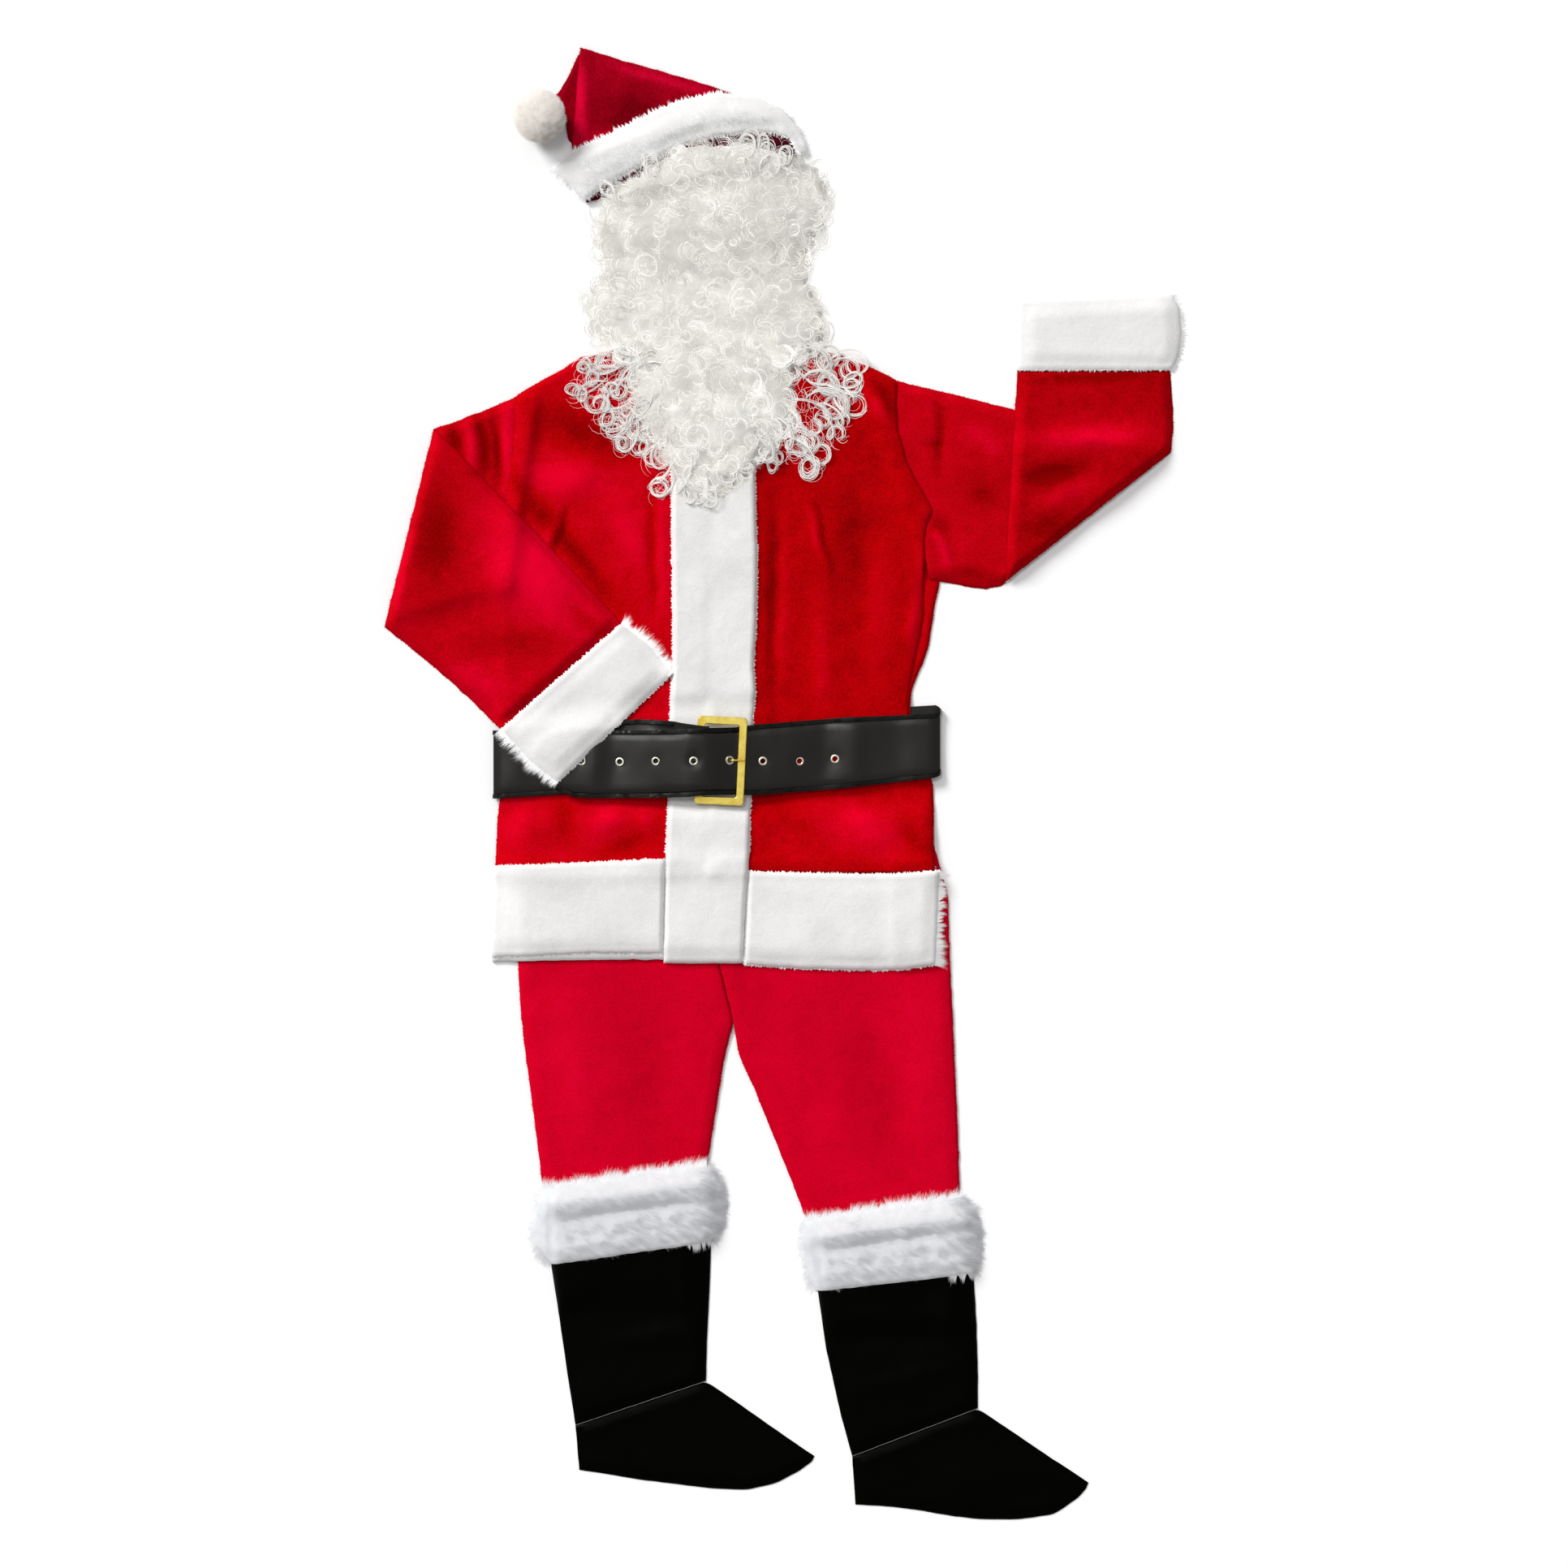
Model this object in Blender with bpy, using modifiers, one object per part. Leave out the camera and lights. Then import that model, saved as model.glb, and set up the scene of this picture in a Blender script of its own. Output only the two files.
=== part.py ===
"""A santa suit laid out flat on a table: hat, wig, beard, jacket, belt, trousers and boot covers.

Every piece of cloth is a closed wall between an under skin and an over skin. Both skins run through
sections, which the tables give in millimetres from the middle of the layout: +x to the right, +y towards
the hat. A piece settles on whatever already lies on the table, with a thin gap to it.
"""

import math
from collections import namedtuple

import bmesh
import bpy
import numpy as np

MM = 0.001

# Cloth and seams
CLOTH = 2.0 * MM
PLUSH = 7.0 * MM
GAP = 0.3 * MM
PLUSH_RIM = 5.0 * MM
PRESSED = 0.45
RIM_SHARE = 0.4
FOLD_RADIUS = 0.6 * MM
FOLD_STEPS = 4

# Cloth laid on the table, kept as a grid of heights
CELL = 4.0 * MM
TABLE_HALF = (0.62, 1.06)
SAMPLES_PER_CELL = 1.2
SETTLE_PASSES = 15

# Hair
HAIR_EDGE = 5.0 * MM

# Pompom
POMPOM_RADIUS = 36.0 * MM
POMPOM_CENTRE = (-328.8 * MM, 901 * MM, 32 * MM)

# Boot covers
FUR_UNDER = 6.0 * MM
FUR_OVER = 15.0 * MM
FUR_SIDE = 5.0 * MM
FUR_ROUND = 9.0 * MM

# Sleeve cuffs
CUFF_UNDER = 5.0 * MM
CUFF_OVER = 7.0 * MM
CUFF_SIDE = 4.0 * MM
CUFF_ROUND = 6.0 * MM
TUBE_CORNER = 1.0 * MM

# Belt
STRAP = 2.5 * MM
BINDING = 0.8 * MM
BINDING_WIDTH = 6.0 * MM
STRAP_LIFT = 1.5 * MM
WRAP_LEFT = -394.0 * MM
WRAP_RIGHT = 211.5 * MM
TURN_STEPS = 6
BELT_LOW = -40.0 * MM
BELT_HIGH = 96.0 * MM
FRAME_SIZE = (67 * MM, 119 * MM, 3.5 * MM)
FRAME_CENTRE = (-85.5 * MM, 31.4 * MM)
FRAME_LEAN = math.radians(-2.7)
FRAME_BAR = 10.5 * MM
FRAME_CORNER = 5.0 * MM
PRONG_RADIUS = 1.1 * MM
EYELET_HOLE = 3.6 * MM
EYELET_FLANGE = 6.3 * MM
EYELET_WALL = 0.6 * MM
EYELET_LIP = 0.8 * MM
EYELET_SEAT = 9.0 * MM

# Sections. A Row is level across the piece, a Span joins any two ends, a Lock also gives the hair's depth.
Row = namedtuple("Row", "y left right")
Span = namedtuple("Span", "ax ay bx by")
Lock = namedtuple("Lock", "y left right depth")

HAT_TIP = [
    Span(-275, 859, -273, 986),
    Span(-293, 873, -283, 988),
    Span(-296, 898, -292, 961),
    Span(-300, 915, -304, 941),
    Span(-307, 908, -322, 925),
]
HAT_CROWN_BACK = [
    Span(-268, 788, -275, 994),
    Span(-221, 801, -224, 979),
    Span(-166, 815, -174, 965),
    Span(-111, 826, -122, 949),
    Span(-56, 835, -78, 934),
    Span(-12, 839, -40, 924),
    Span(19, 843, -1, 906),
]
HAT_CROWN_FRONT = [
    Span(-290, 836, -276, 999),
    Span(-238, 854, -224, 983),
    Span(-183, 873, -174, 969),
    Span(-128, 891, -122, 954),
    Span(-84, 902, -84, 942),
    Span(-18, 898, -23, 914),
]
HAT_BAND_BACK = [
    Span(-268, 789, -308, 828),
    Span(-221, 795, -260, 846),
    Span(-166, 809, -194, 865),
    Span(-111, 820, -128, 880),
    Span(-56, 828, -67, 887),
    Span(-7, 834, -12, 889),
    Span(25, 843, 22, 865),
]
HAT_BAND_FRONT = [
    Span(-271, 791, -317, 833),
    Span(-243, 810, -290, 854),
    Span(-210, 829, -243, 878),
    Span(-177, 846, -194, 902),
    Span(-139, 865, -144, 924),
    Span(-95, 877, -95, 936),
    Span(-45, 883, -40, 933),
    Span(-12, 883, -1, 916),
    Span(10, 873, 24, 887),
    Span(21, 854, 35, 854),
]
WIG = [
    Lock(865, -126, 8, 10),
    Lock(848, -166, 18, 18),
    Lock(839, -185, 41, 23),
    Lock(829, -204, 48, 27),
    Lock(812, -232, 56, 31),
    Lock(791, -256, 62, 33),
    Lock(771, -255, 59, 34),
    Lock(749, -257, 51, 33),
    Lock(733, -251, 38, 31),
    Lock(711, -244, 35, 29),
    Lock(694, -246, 33, 27),
    Lock(681.4, -254, 30, 26),
]
BEARD = [
    Lock(681, -255, 30, 26),
    Lock(667, -268, 42, 28),
    Lock(650, -274, 53, 30),
    Lock(631, -272, 62, 31),
    Lock(607, -266, 69, 32),
    Lock(587, -263, 72, 32),
    Lock(565, -254, 77, 31),
    Lock(543, -235, 84, 30),
    Lock(521, -218, 87, 29),
    Lock(499, -207, 70, 28),
    Lock(477, -196, 43, 26),
    Lock(455, -183, 21, 24),
    Lock(433, -169, -34, 21),
    Lock(411, -154, -53, 17),
    Lock(389, -132, -86, 10),
]
JACKET_BACK = [
    Row(592, -216, 37),
    Row(578, -278, 88),
    Row(559, -305, 119.4),
    Row(532, -347, 128.3),
    Row(275, -385.7, 212.8),
    Row(254, -388.8, 206),
    Row(230, -388, 203),
    Row(180, -386, 195),
    Row(127, -384, 172),
    Row(88, -384, 171),
    Row(76, -382, 173),
    Row(45, -382, 185),
    Row(0, -382, 202),
    Row(-22, -383, 202.7),
    Row(-28, -387, 203),
    Row(-60, -389, 203),
    Row(-97, -390.5, 202.6),
    Row(-108, -391, 202.5),
    Row(-120, -392, 204),
]
JACKET_FRONT_LEFT = [
    Row(579, -275, -169),
    Row(562, -301, -150),
    Row(546, -332, -133),
    Row(524, -367, -114),
    Row(507, -365, -102),
    Row(491, -363, -97),
    Row(447, -368, -97),
    Row(389, -375, -97),
    Row(359, -381, -97),
    Row(256, -389, -97),
    Row(127, -384, -97),
    Row(88, -384, -97),
    Row(76, -382, -97),
    Row(45, -382, -97),
    Row(0, -382, -97),
    Row(-22, -383, -97),
    Row(-28, -387, -97),
    Row(-60, -389, -97),
    Row(-97, -390.5, -97),
    Row(-108, -391, -97),
    Row(-120, -392, -97),
]
JACKET_FRONT_RIGHT = [
    Row(577, -59, 88),
    Row(562, -75, 125),
    Row(547, -90, 153),
    Row(513, -96, 152),
    Row(480, -96, 154),
    Row(429, -96, 169),
    Row(400, -96, 186),
    Row(371, -96, 203),
    Row(358, -96, 195),
    Row(341, -96, 191),
    Row(223, -96, 189),
    Row(127, -96, 169),
    Row(88, -96, 169),
    Row(45, -96, 185),
    Row(0, -96, 202),
    Row(-25, -96, 202),
    Row(-60, -96, 202),
    Row(-97, -96, 202.6),
    Row(-120, -96, 204),
]
PLACKET = [
    Row(507, -152, -40),
    Row(402, -153, -39),
    Row(314, -152, -36),
    Row(226, -151, -37),
    Row(160, -151, -41),
    Row(130, -153, -38),
    Row(88, -155, -42),
    Row(0, -157, -44),
    Row(-33, -157, -45),
    Row(-60, -158, -46),
    Row(-92, -160, -47),
    Row(-112, -160, -48),
    Row(-165, -162, -52),
    Row(-243, -163, -55),
]
HEM_BAND_LEFT = [
    Span(-398, -235, -393, -111),
    Span(-337, -233, -337, -109),
    Span(-260, -229, -260, -106),
    Span(-163.6, -230, -161, -101),
]
HEM_BAND_RIGHT = [
    Span(-54, -245, -47.5, -118),
    Span(15, -250, 15, -120),
    Span(103, -253, 103, -122),
    Span(158, -252, 158, -121),
    Span(217, -244, 213, -117),
]
HEM_BAND_BACK = [
    Span(-396, -241, -391, -111),
    Span(-260, -238, -260, -108),
    Span(-100, -238, -100, -110),
    Span(60, -242, 60, -112),
    Span(204, -240, 204, -110),
]
SLEEVE_RIGHT_UNDER = [
    Span(120, 561, 213.4, 275),
    Span(164, 544, 246, 268),
    Span(246, 525, 274, 265),
    Span(323, 505, 293, 268),
    Span(417, 477, 298, 271),
]
SLEEVE_RIGHT_FOLD = Span(525, 450, 301, 275)
SLEEVE_RIGHT_OVER = [
    Span(528, 480, 301, 304),
    Span(528, 507, 306, 381),
    Span(526, 535, 311, 469),
    Span(524, 561, 317, 561),
]
CUFF_RIGHT = [
    Span(526, 561.5, 315, 561.5),
    Span(536, 579, 316, 583),
    Span(541, 609, 317, 617),
    Span(538, 645, 317, 645),
    Span(528, 665, 319, 655),
]
SLEEVE_LEFT_UNDER = [
    Span(-347.6, 532.4, -389.4, 254.1),
    Span(-402, 509, -436, 246),
    Span(-441, 494, -485, 231),
]
SLEEVE_LEFT_FOLD = Span(-475, 482, -542, 213)
SLEEVE_LEFT_OVER = [
    Span(-436, 444, -513, 190),
    Span(-380, 385, -474, 158),
    Span(-301, 304, -428, 117),
    Span(-220, 218, -384, 74),
]
CUFF_LEFT = [
    Span(-219.6, 217.5, -383.6, 73.5),
    Span(-183, 190, -348, 34),
    Span(-135, 155, -310, 0),
]
TROUSER_LEFT = [
    Row(-38, -352, -96.2),
    Row(-150, -360, -91.8),
    Row(-243, -361, -88.2),
    Row(-322, -356, -68.7),
    Row(-371, -350, -81),
    Row(-438, -341, -92),
    Row(-515, -331, -104),
    Row(-565, -325, -112),
    Row(-620, -315, -121),
    Row(-700, -302, -134),
]
TROUSER_RIGHT = [
    Row(-38, -95.8, 190),
    Row(-90, -93.8, 205),
    Row(-149, -91.4, 222),
    Row(-243, -87.8, 225),
    Row(-322, -68.3, 229),
    Row(-366, -62, 231),
    Row(-416, -39, 233),
    Row(-483, -12, 236),
    Row(-550, 15, 238),
    Row(-587, 29, 238),
    Row(-640, 46, 240),
    Row(-735, 66, 238),
]
BOOT_LEFT_SHAFT = [
    Span(-323, -565, -97, -532),
    Span(-316, -653, -99, -620),
    Span(-307, -711, -101, -681),
    Span(-293, -807, -104.5, -752),
    Span(-283, -870, -106, -810),
]
BOOT_LEFT_FOOT = [
    Span(-278, -931, -283, -870.5),
    Span(-243, -936, -235, -854.2),
    Span(-197, -944, -190, -839),
    Span(-147, -950, -150, -825.4),
    Span(-99, -956, -106, -810.5),
    Span(-51, -958, -67, -837),
    Span(-11, -949, -23, -868),
    Span(21, -932, 13, -893),
    Span(38, -919, 41, -912),
]
BOOT_LEFT_FUR = [
    Span(-336, -549, -97, -515),
    Span(-342, -574, -82, -536),
    Span(-348, -603, -76, -565),
    Span(-342, -631, -81, -596),
    Span(-323, -652, -91, -619),
]
BOOT_RIGHT_SHAFT = [
    Span(37, -612, 249, -584),
    Span(46, -689, 257, -662),
    Span(57, -766, 261, -730),
    Span(77, -856, 263, -796),
    Span(92.4, -912, 263, -847),
]
BOOT_RIGHT_FOOT = [
    Span(97, -978, 92.4, -912.5),
    Span(136, -980, 140, -894.4),
    Span(180, -985, 185, -877.2),
    Span(224, -993, 226, -861.6),
    Span(268, -998, 263, -847.5),
    Span(319, -998, 307, -877),
    Span(367, -991, 354, -909),
    Span(400, -968, 391, -933),
    Span(410, -956, 413, -948),
]
BOOT_RIGHT_FUR = [
    Span(20, -592, 247, -558),
    Span(19, -615, 262, -576),
    Span(20, -640, 270, -609),
    Span(27, -667, 268, -640),
    Span(36, -688, 265, -662),
]

# Where the strap's two long edges run, from left to right, on each stretch of the belt.
Edge = namedtuple("Edge", "x bottom top")
STRAP_TIP = [Edge(-335, 22, 38), Edge(-322, 4, 56), Edge(-300, -12, 70)]
STRAP_OVER = [
    Edge(-280, -19, 72.6),
    Edge(-155, -18.7, 72.6),
    Edge(-120, -17, 74.5),
    Edge(-98, -14.5, 76),
    Edge(-60, -14.5, 76.5),
    Edge(-43, -15.5, 80),
    Edge(80, -6, 90),
    Edge(210, 9, 95.5),
]
STRAP_BACK = [Edge(-392, -19.8, 72.6), Edge(210, 17.6, 107)]
STRAP_UNDER = [
    Edge(-392, -19.8, 72.6),
    Edge(-300, -14, 78),
    Edge(-205, -4, 88),
    Edge(-155, -6, 86),
    Edge(-117, -13, 78),
]
Place = namedtuple("Place", "x y")
EYELETS = [
    Place(-274, 31),
    Place(-222, 30),
    Place(-173, 31),
    Place(-122, 31),
    Place(-73.7, 32),
    Place(-28.6, 31),
    Place(21, 31),
    Place(69, 34),
]

# name: base colour, roughness, metallic
FINISHES = {
    "red_velour": ((0.56, 0.0, 0.012), 0.9, 0.0),
    "white_plush": ((0.85, 0.85, 0.85), 0.95, 0.0),
    "white_fur": ((0.80, 0.82, 0.82), 0.95, 0.0),
    "white_curls": ((0.78, 0.77, 0.74), 0.8, 0.0),
    "belt_vinyl": ((0.028, 0.025, 0.022), 0.4, 0.0),
    "boot_vinyl": ((0.004, 0.004, 0.003), 0.35, 0.0),
    "gold_metal": ((0.78, 0.60, 0.16), 0.3, 1.0),
}


def clear_scene():
    for old in list(bpy.data.objects):
        bpy.data.objects.remove(old, do_unlink=True)


def collection(name):
    made = bpy.data.collections.new(name)
    bpy.context.scene.collection.children.link(made)
    return made


def finish(name):
    """A Principled material for one kind of surface, made once."""
    if name in bpy.data.materials:
        return bpy.data.materials[name]
    colour, roughness, metallic = FINISHES[name]
    material = bpy.data.materials.new(name)
    material.use_nodes = True
    shader = material.node_tree.nodes["Principled BSDF"]
    shader.inputs["Base Color"].default_value = (*colour, 1.0)
    shader.inputs["Roughness"].default_value = roughness
    shader.inputs["Metallic"].default_value = metallic
    return material


def body(name, under, over, material, closed=False):
    """A closed solid between two skins of points, each an array (rows, columns, 3).

    With closed set, the last column joins the first, so the skins are the inside and outside of a tube.
    """
    rows, columns = under.shape[:2]
    points = np.concatenate([under.reshape(-1, 3), over.reshape(-1, 3)])
    other = rows * columns
    reach = columns if closed else columns - 1
    faces = []
    for i in range(rows - 1):
        for j in range(reach):
            k = (j + 1) % columns
            a, b = i * columns + j, (i + 1) * columns + j
            c, d = (i + 1) * columns + k, i * columns + k
            for shift in (0, other):
                faces.append((a + shift, b + shift, c + shift))
                faces.append((a + shift, c + shift, d + shift))
    for i in (0, rows - 1):
        for j in range(reach):
            a, b = i * columns + j, i * columns + (j + 1) % columns
            faces.append((a, b, b + other, a + other))
    if not closed:
        for j in (0, columns - 1):
            for i in range(rows - 1):
                a, b = i * columns + j, (i + 1) * columns + j
                faces.append((a, b, b + other, a + other))
    mesh = bpy.data.meshes.new(name)
    mesh.from_pydata(points.tolist(), [], faces)
    tidy = bmesh.new()
    tidy.from_mesh(mesh)
    bmesh.ops.recalc_face_normals(tidy, faces=tidy.faces)
    tidy.to_mesh(mesh)
    tidy.free()
    return add_object(name, mesh, material)


def add_object(name, mesh, material):
    mesh.materials.append(finish(material))
    mesh.shade_smooth()
    mesh.set_sharp_from_angle(angle=math.radians(40))
    made = bpy.data.objects.new(name, mesh)
    SUIT.objects.link(made)
    return made


class Laid:
    """The top of everything laid so far, as a grid of heights over the table."""

    def __init__(self):
        size = [int(2 * half / CELL) + 1 for half in TABLE_HALF]
        self.heights = np.zeros(size)

    def cells(self, places):
        half = np.array(TABLE_HALF)
        return np.round((places[..., :2] + half) / CELL).astype(int)

    def spots(self, skin):
        """Spots spread over a skin's facets, cut along either diagonal, as corners and their weights."""
        rows, columns = skin.shape[:2]
        index = np.arange(rows * columns).reshape(rows, columns)
        a, b = index[:-1, :-1].ravel(), index[1:, :-1].ravel()
        c, d = index[1:, 1:].ravel(), index[:-1, 1:].ravel()
        points = skin.reshape(rows * columns, -1)
        longest = max(np.abs(points[c] - points[a]).max(), np.abs(points[d] - points[b]).max())
        steps = int(longest / CELL * SAMPLES_PER_CELL) + 2
        corners, weights = [], []
        for i in range(steps + 1):
            for j in range(steps + 1 - i):
                for facet in ((a, b, c), (a, c, d), (b, a, d), (b, d, c)):
                    corners.append(np.column_stack(facet))
                    weights.append(np.tile([1 - (i + j) / steps, i / steps, j / steps], (len(a), 1)))
        return np.vstack(corners), np.vstack(weights)

    def blend(self, values, corners, weights):
        return (values[corners] * weights[..., None]).sum(axis=1)

    def add(self, skin):
        corners, weights = self.spots(skin)
        places = self.blend(skin.reshape(-1, 3), corners, weights)
        cells = self.cells(places)
        np.maximum.at(self.heights, (cells[:, 0], cells[:, 1]), places[:, 2])

    def near(self):
        """Each cell raised to the highest of its neighbours."""
        tops = self.heights
        for axis in (0, 1):
            tops = np.maximum(tops, np.maximum(np.roll(tops, 1, axis), np.roll(tops, -1, axis)))
        return tops

    def clear(self, grid):
        """Low heights for the points of a grid, so that every facet clears what lies under it."""
        corners, weights = self.spots(grid)
        cells = self.cells(self.blend(grid.reshape(-1, 2), corners, weights))
        needed = self.near()[cells[:, 0], cells[:, 1]]
        needed = np.where(needed > 0, needed + GAP, 0.0)
        share = (weights / weights.max(axis=1)[:, None]) ** 2
        heights = np.zeros(grid.shape[0] * grid.shape[1])
        for settling in [share] * SETTLE_PASSES + [np.sign(weights)]:
            level = (heights[corners] * weights).sum(axis=1)
            short = np.maximum(needed - level, 0)
            lift = np.zeros_like(heights)
            np.maximum.at(lift, corners, short[:, None] * settling)
            heights += lift
        return heights.reshape(grid.shape[:2])

    def highest(self, x0, x1, y0, y1):
        low = self.cells(np.array([x0, y0]))
        high = self.cells(np.array([x1, y1])) + 1
        return self.near()[low[0] : high[0], low[1] : high[1]].max()


def ends(table):
    """The two ends of each section, in metres, as arrays (sections, 2)."""
    if hasattr(table[0], "ax"):
        first = [(s.ax, s.ay) for s in table]
        last = [(s.bx, s.by) for s in table]
    else:
        first = [(s.left, s.y) for s in table]
        last = [(s.right, s.y) for s in table]
    return np.array(first) * MM, np.array(last) * MM


def closer(first, last, step):
    """More sections on straight lines between those given, so none lie further apart than step."""
    new_first, new_last = [first[0]], [last[0]]
    for i in range(1, len(first)):
        gap = max(np.linalg.norm(first[i] - first[i - 1]), np.linalg.norm(last[i] - last[i - 1]))
        count = max(1, round(gap / step))
        for k in range(1, count + 1):
            new_first.append(first[i - 1] + (first[i] - first[i - 1]) * k / count)
            new_last.append(last[i - 1] + (last[i] - last[i - 1]) * k / count)
    return np.array(new_first), np.array(new_last)


def spread(first, last, shares):
    """Points across each section at the given shares of its length; shares may differ by section."""
    shares = np.asarray(shares)
    if shares.ndim == 1:
        shares = np.tile(shares, (len(first), 1))
    return first[:, None] + (last - first)[:, None] * shares[..., None]


def with_height(grid, heights):
    return np.dstack([grid, heights])


class Piece:
    """One flat piece: its name, its finish, its grid of places and its depth at each of them."""

    def __init__(self, name, material, grid, depth):
        self.name = name
        self.material = material
        self.grid = grid
        self.depth = depth


def cloth(name, material, table, across, step=0.075):
    """A panel of plain cloth, across facets wide."""
    first, last = closer(*ends(table), step)
    grid = spread(first, last, np.linspace(0, 1, across + 1))
    return Piece(name, material, grid, np.full(grid.shape[:2], CLOTH))


def plush(name, table, across, step=0.075):
    """A panel of deep pile, thinner along its rim."""
    first, last = closer(*ends(table), step)
    first, last = inset_sections(first, last, PLUSH_RIM)
    widths = np.linalg.norm(last - first, axis=1)
    middle = np.linspace(0, 1, across - 1)
    shares = []
    for width in widths:
        rim = PLUSH_RIM / width
        shares.append([0.0, *(rim + (1 - 2 * rim) * middle), 1.0])
    grid = spread(first, last, shares)
    depth = np.full(grid.shape[:2], PLUSH)
    depth[[0, -1], :] *= RIM_SHARE
    depth[1:-1, [0, -1]] *= RIM_SHARE
    return Piece(name, "white_plush", grid, depth)


def inset_sections(first, last, rim):
    """One more section just inside each end of a panel."""

    def between(points, i, j):
        length = np.linalg.norm(points[j] - points[i])
        return points[i] + (points[j] - points[i]) * rim / length

    new = []
    for points in (first, last):
        start = between(points, 0, 1)
        end = between(points, len(points) - 1, len(points) - 2)
        new.append(np.vstack([points[:1], start[None], points[1:-1], end[None], points[-1:]]))
    return new


def hair(name, table, across):
    """A mass of curls, deepest along the middle of each section and round at both sides."""
    first, last = ends(table)
    shares = (1 - np.cos(np.pi * np.arange(across + 1) / across)) / 2
    grid = spread(first, last, shares)
    crown = np.array([lock.depth for lock in table]) * MM
    dome = np.sqrt(1 - (2 * shares - 1) ** 2)
    depth = HAIR_EDGE + (crown[:, None] - HAIR_EDGE) * dome[None]
    return Piece(name, "white_curls", grid, depth)


def press(piece, low, high, share):
    """Squeeze the rows of a piece that lie between two heights up the layout."""
    rows = (piece.grid[:, 0, 1] > low) & (piece.grid[:, 0, 1] < high)
    piece.depth[rows] *= share
    return piece


def lay(laid, *pieces):
    """Lay pieces side by side: all settle on what is there already, then all are added to it."""
    overs = []
    for piece in pieces:
        heights = laid.clear(piece.grid)
        under = with_height(piece.grid, heights)
        over = with_height(piece.grid, heights + piece.depth)
        body(piece.name, under, over, piece.material)
        overs.append(over)
    for over in overs:
        laid.add(over)


def ring_sections(walls, sides):
    """Rings round a flattened tube: one wall, a side, the other wall back again, the other side."""
    wall_a, wall_b = walls
    side_left, side_right = sides
    return np.concatenate([wall_a, side_right[:, None], wall_b[:, ::-1], side_left[:, None]], axis=1)


class Tube:
    """A flattened tube: two walls joined at both sides, open at both ends."""

    def __init__(self, name, material, table, across, side, rounding):
        self.name = name
        self.material = material
        self.first, self.last = ends(table)
        self.across = across
        self.side = side
        self.rounding = rounding
        self.outer = self.inset(rounding)
        self.inner = self.inset(side + TUBE_CORNER)

    def inset(self, distance):
        """Places across each section that stop short of its ends by a distance."""
        widths = np.linalg.norm(self.last - self.first, axis=1)
        shares = []
        for width in widths:
            share = distance / width
            shares.append(share + (1 - 2 * share) * np.linspace(0, 1, self.across + 1))
        return spread(self.first, self.last, shares)

    def side_points(self, distance, heights):
        """Points at both sides, that far in from each section's ends, half-way up the walls."""
        widths = np.linalg.norm(self.last - self.first, axis=1)[:, None]
        along = (self.last - self.first) / widths
        left = np.column_stack([self.first + along * distance, heights[:, 0]])
        right = np.column_stack([self.last - along * distance, heights[:, -1]])
        return left, right

    def lay_under(self, laid, depth):
        """The wall that faces the table."""
        heights = laid.clear(self.inner)
        self.under_out = with_height(self.outer, heights)
        self.under_in = with_height(self.inner, heights + depth)
        laid.add(with_height(self.outer, heights + depth))

    def lay_over(self, laid, depth):
        """The wall that faces up, over whatever lies in the tube."""
        heights = laid.clear(self.inner)
        self.over_in = with_height(self.inner, heights)
        self.over_out = with_height(self.outer, heights + depth)
        laid.add(self.over_out)

    def build(self):
        middle_out = (self.under_out[..., 2] + self.over_out[..., 2]) / 2
        middle_in = (self.under_in[..., 2] + self.over_in[..., 2]) / 2
        outside = ring_sections((self.under_out, self.over_out), self.side_points(0.0, middle_out))
        inside = ring_sections((self.under_in, self.over_in), self.side_points(self.side, middle_in))
        body(self.name, inside, outside, self.material, closed=True)


def lay_fur(laid, name, table):
    tube = Tube(name, "white_fur", table, 5, FUR_SIDE, FUR_ROUND)
    tube.lay_under(laid, FUR_UNDER)
    return tube


def lay_cuff(laid, name, table):
    tube = Tube(name, "white_plush", table, 5, CUFF_SIDE, CUFF_ROUND)
    tube.lay_under(laid, CUFF_UNDER)
    tube.lay_over(laid, CUFF_OVER)
    tube.build()


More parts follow.
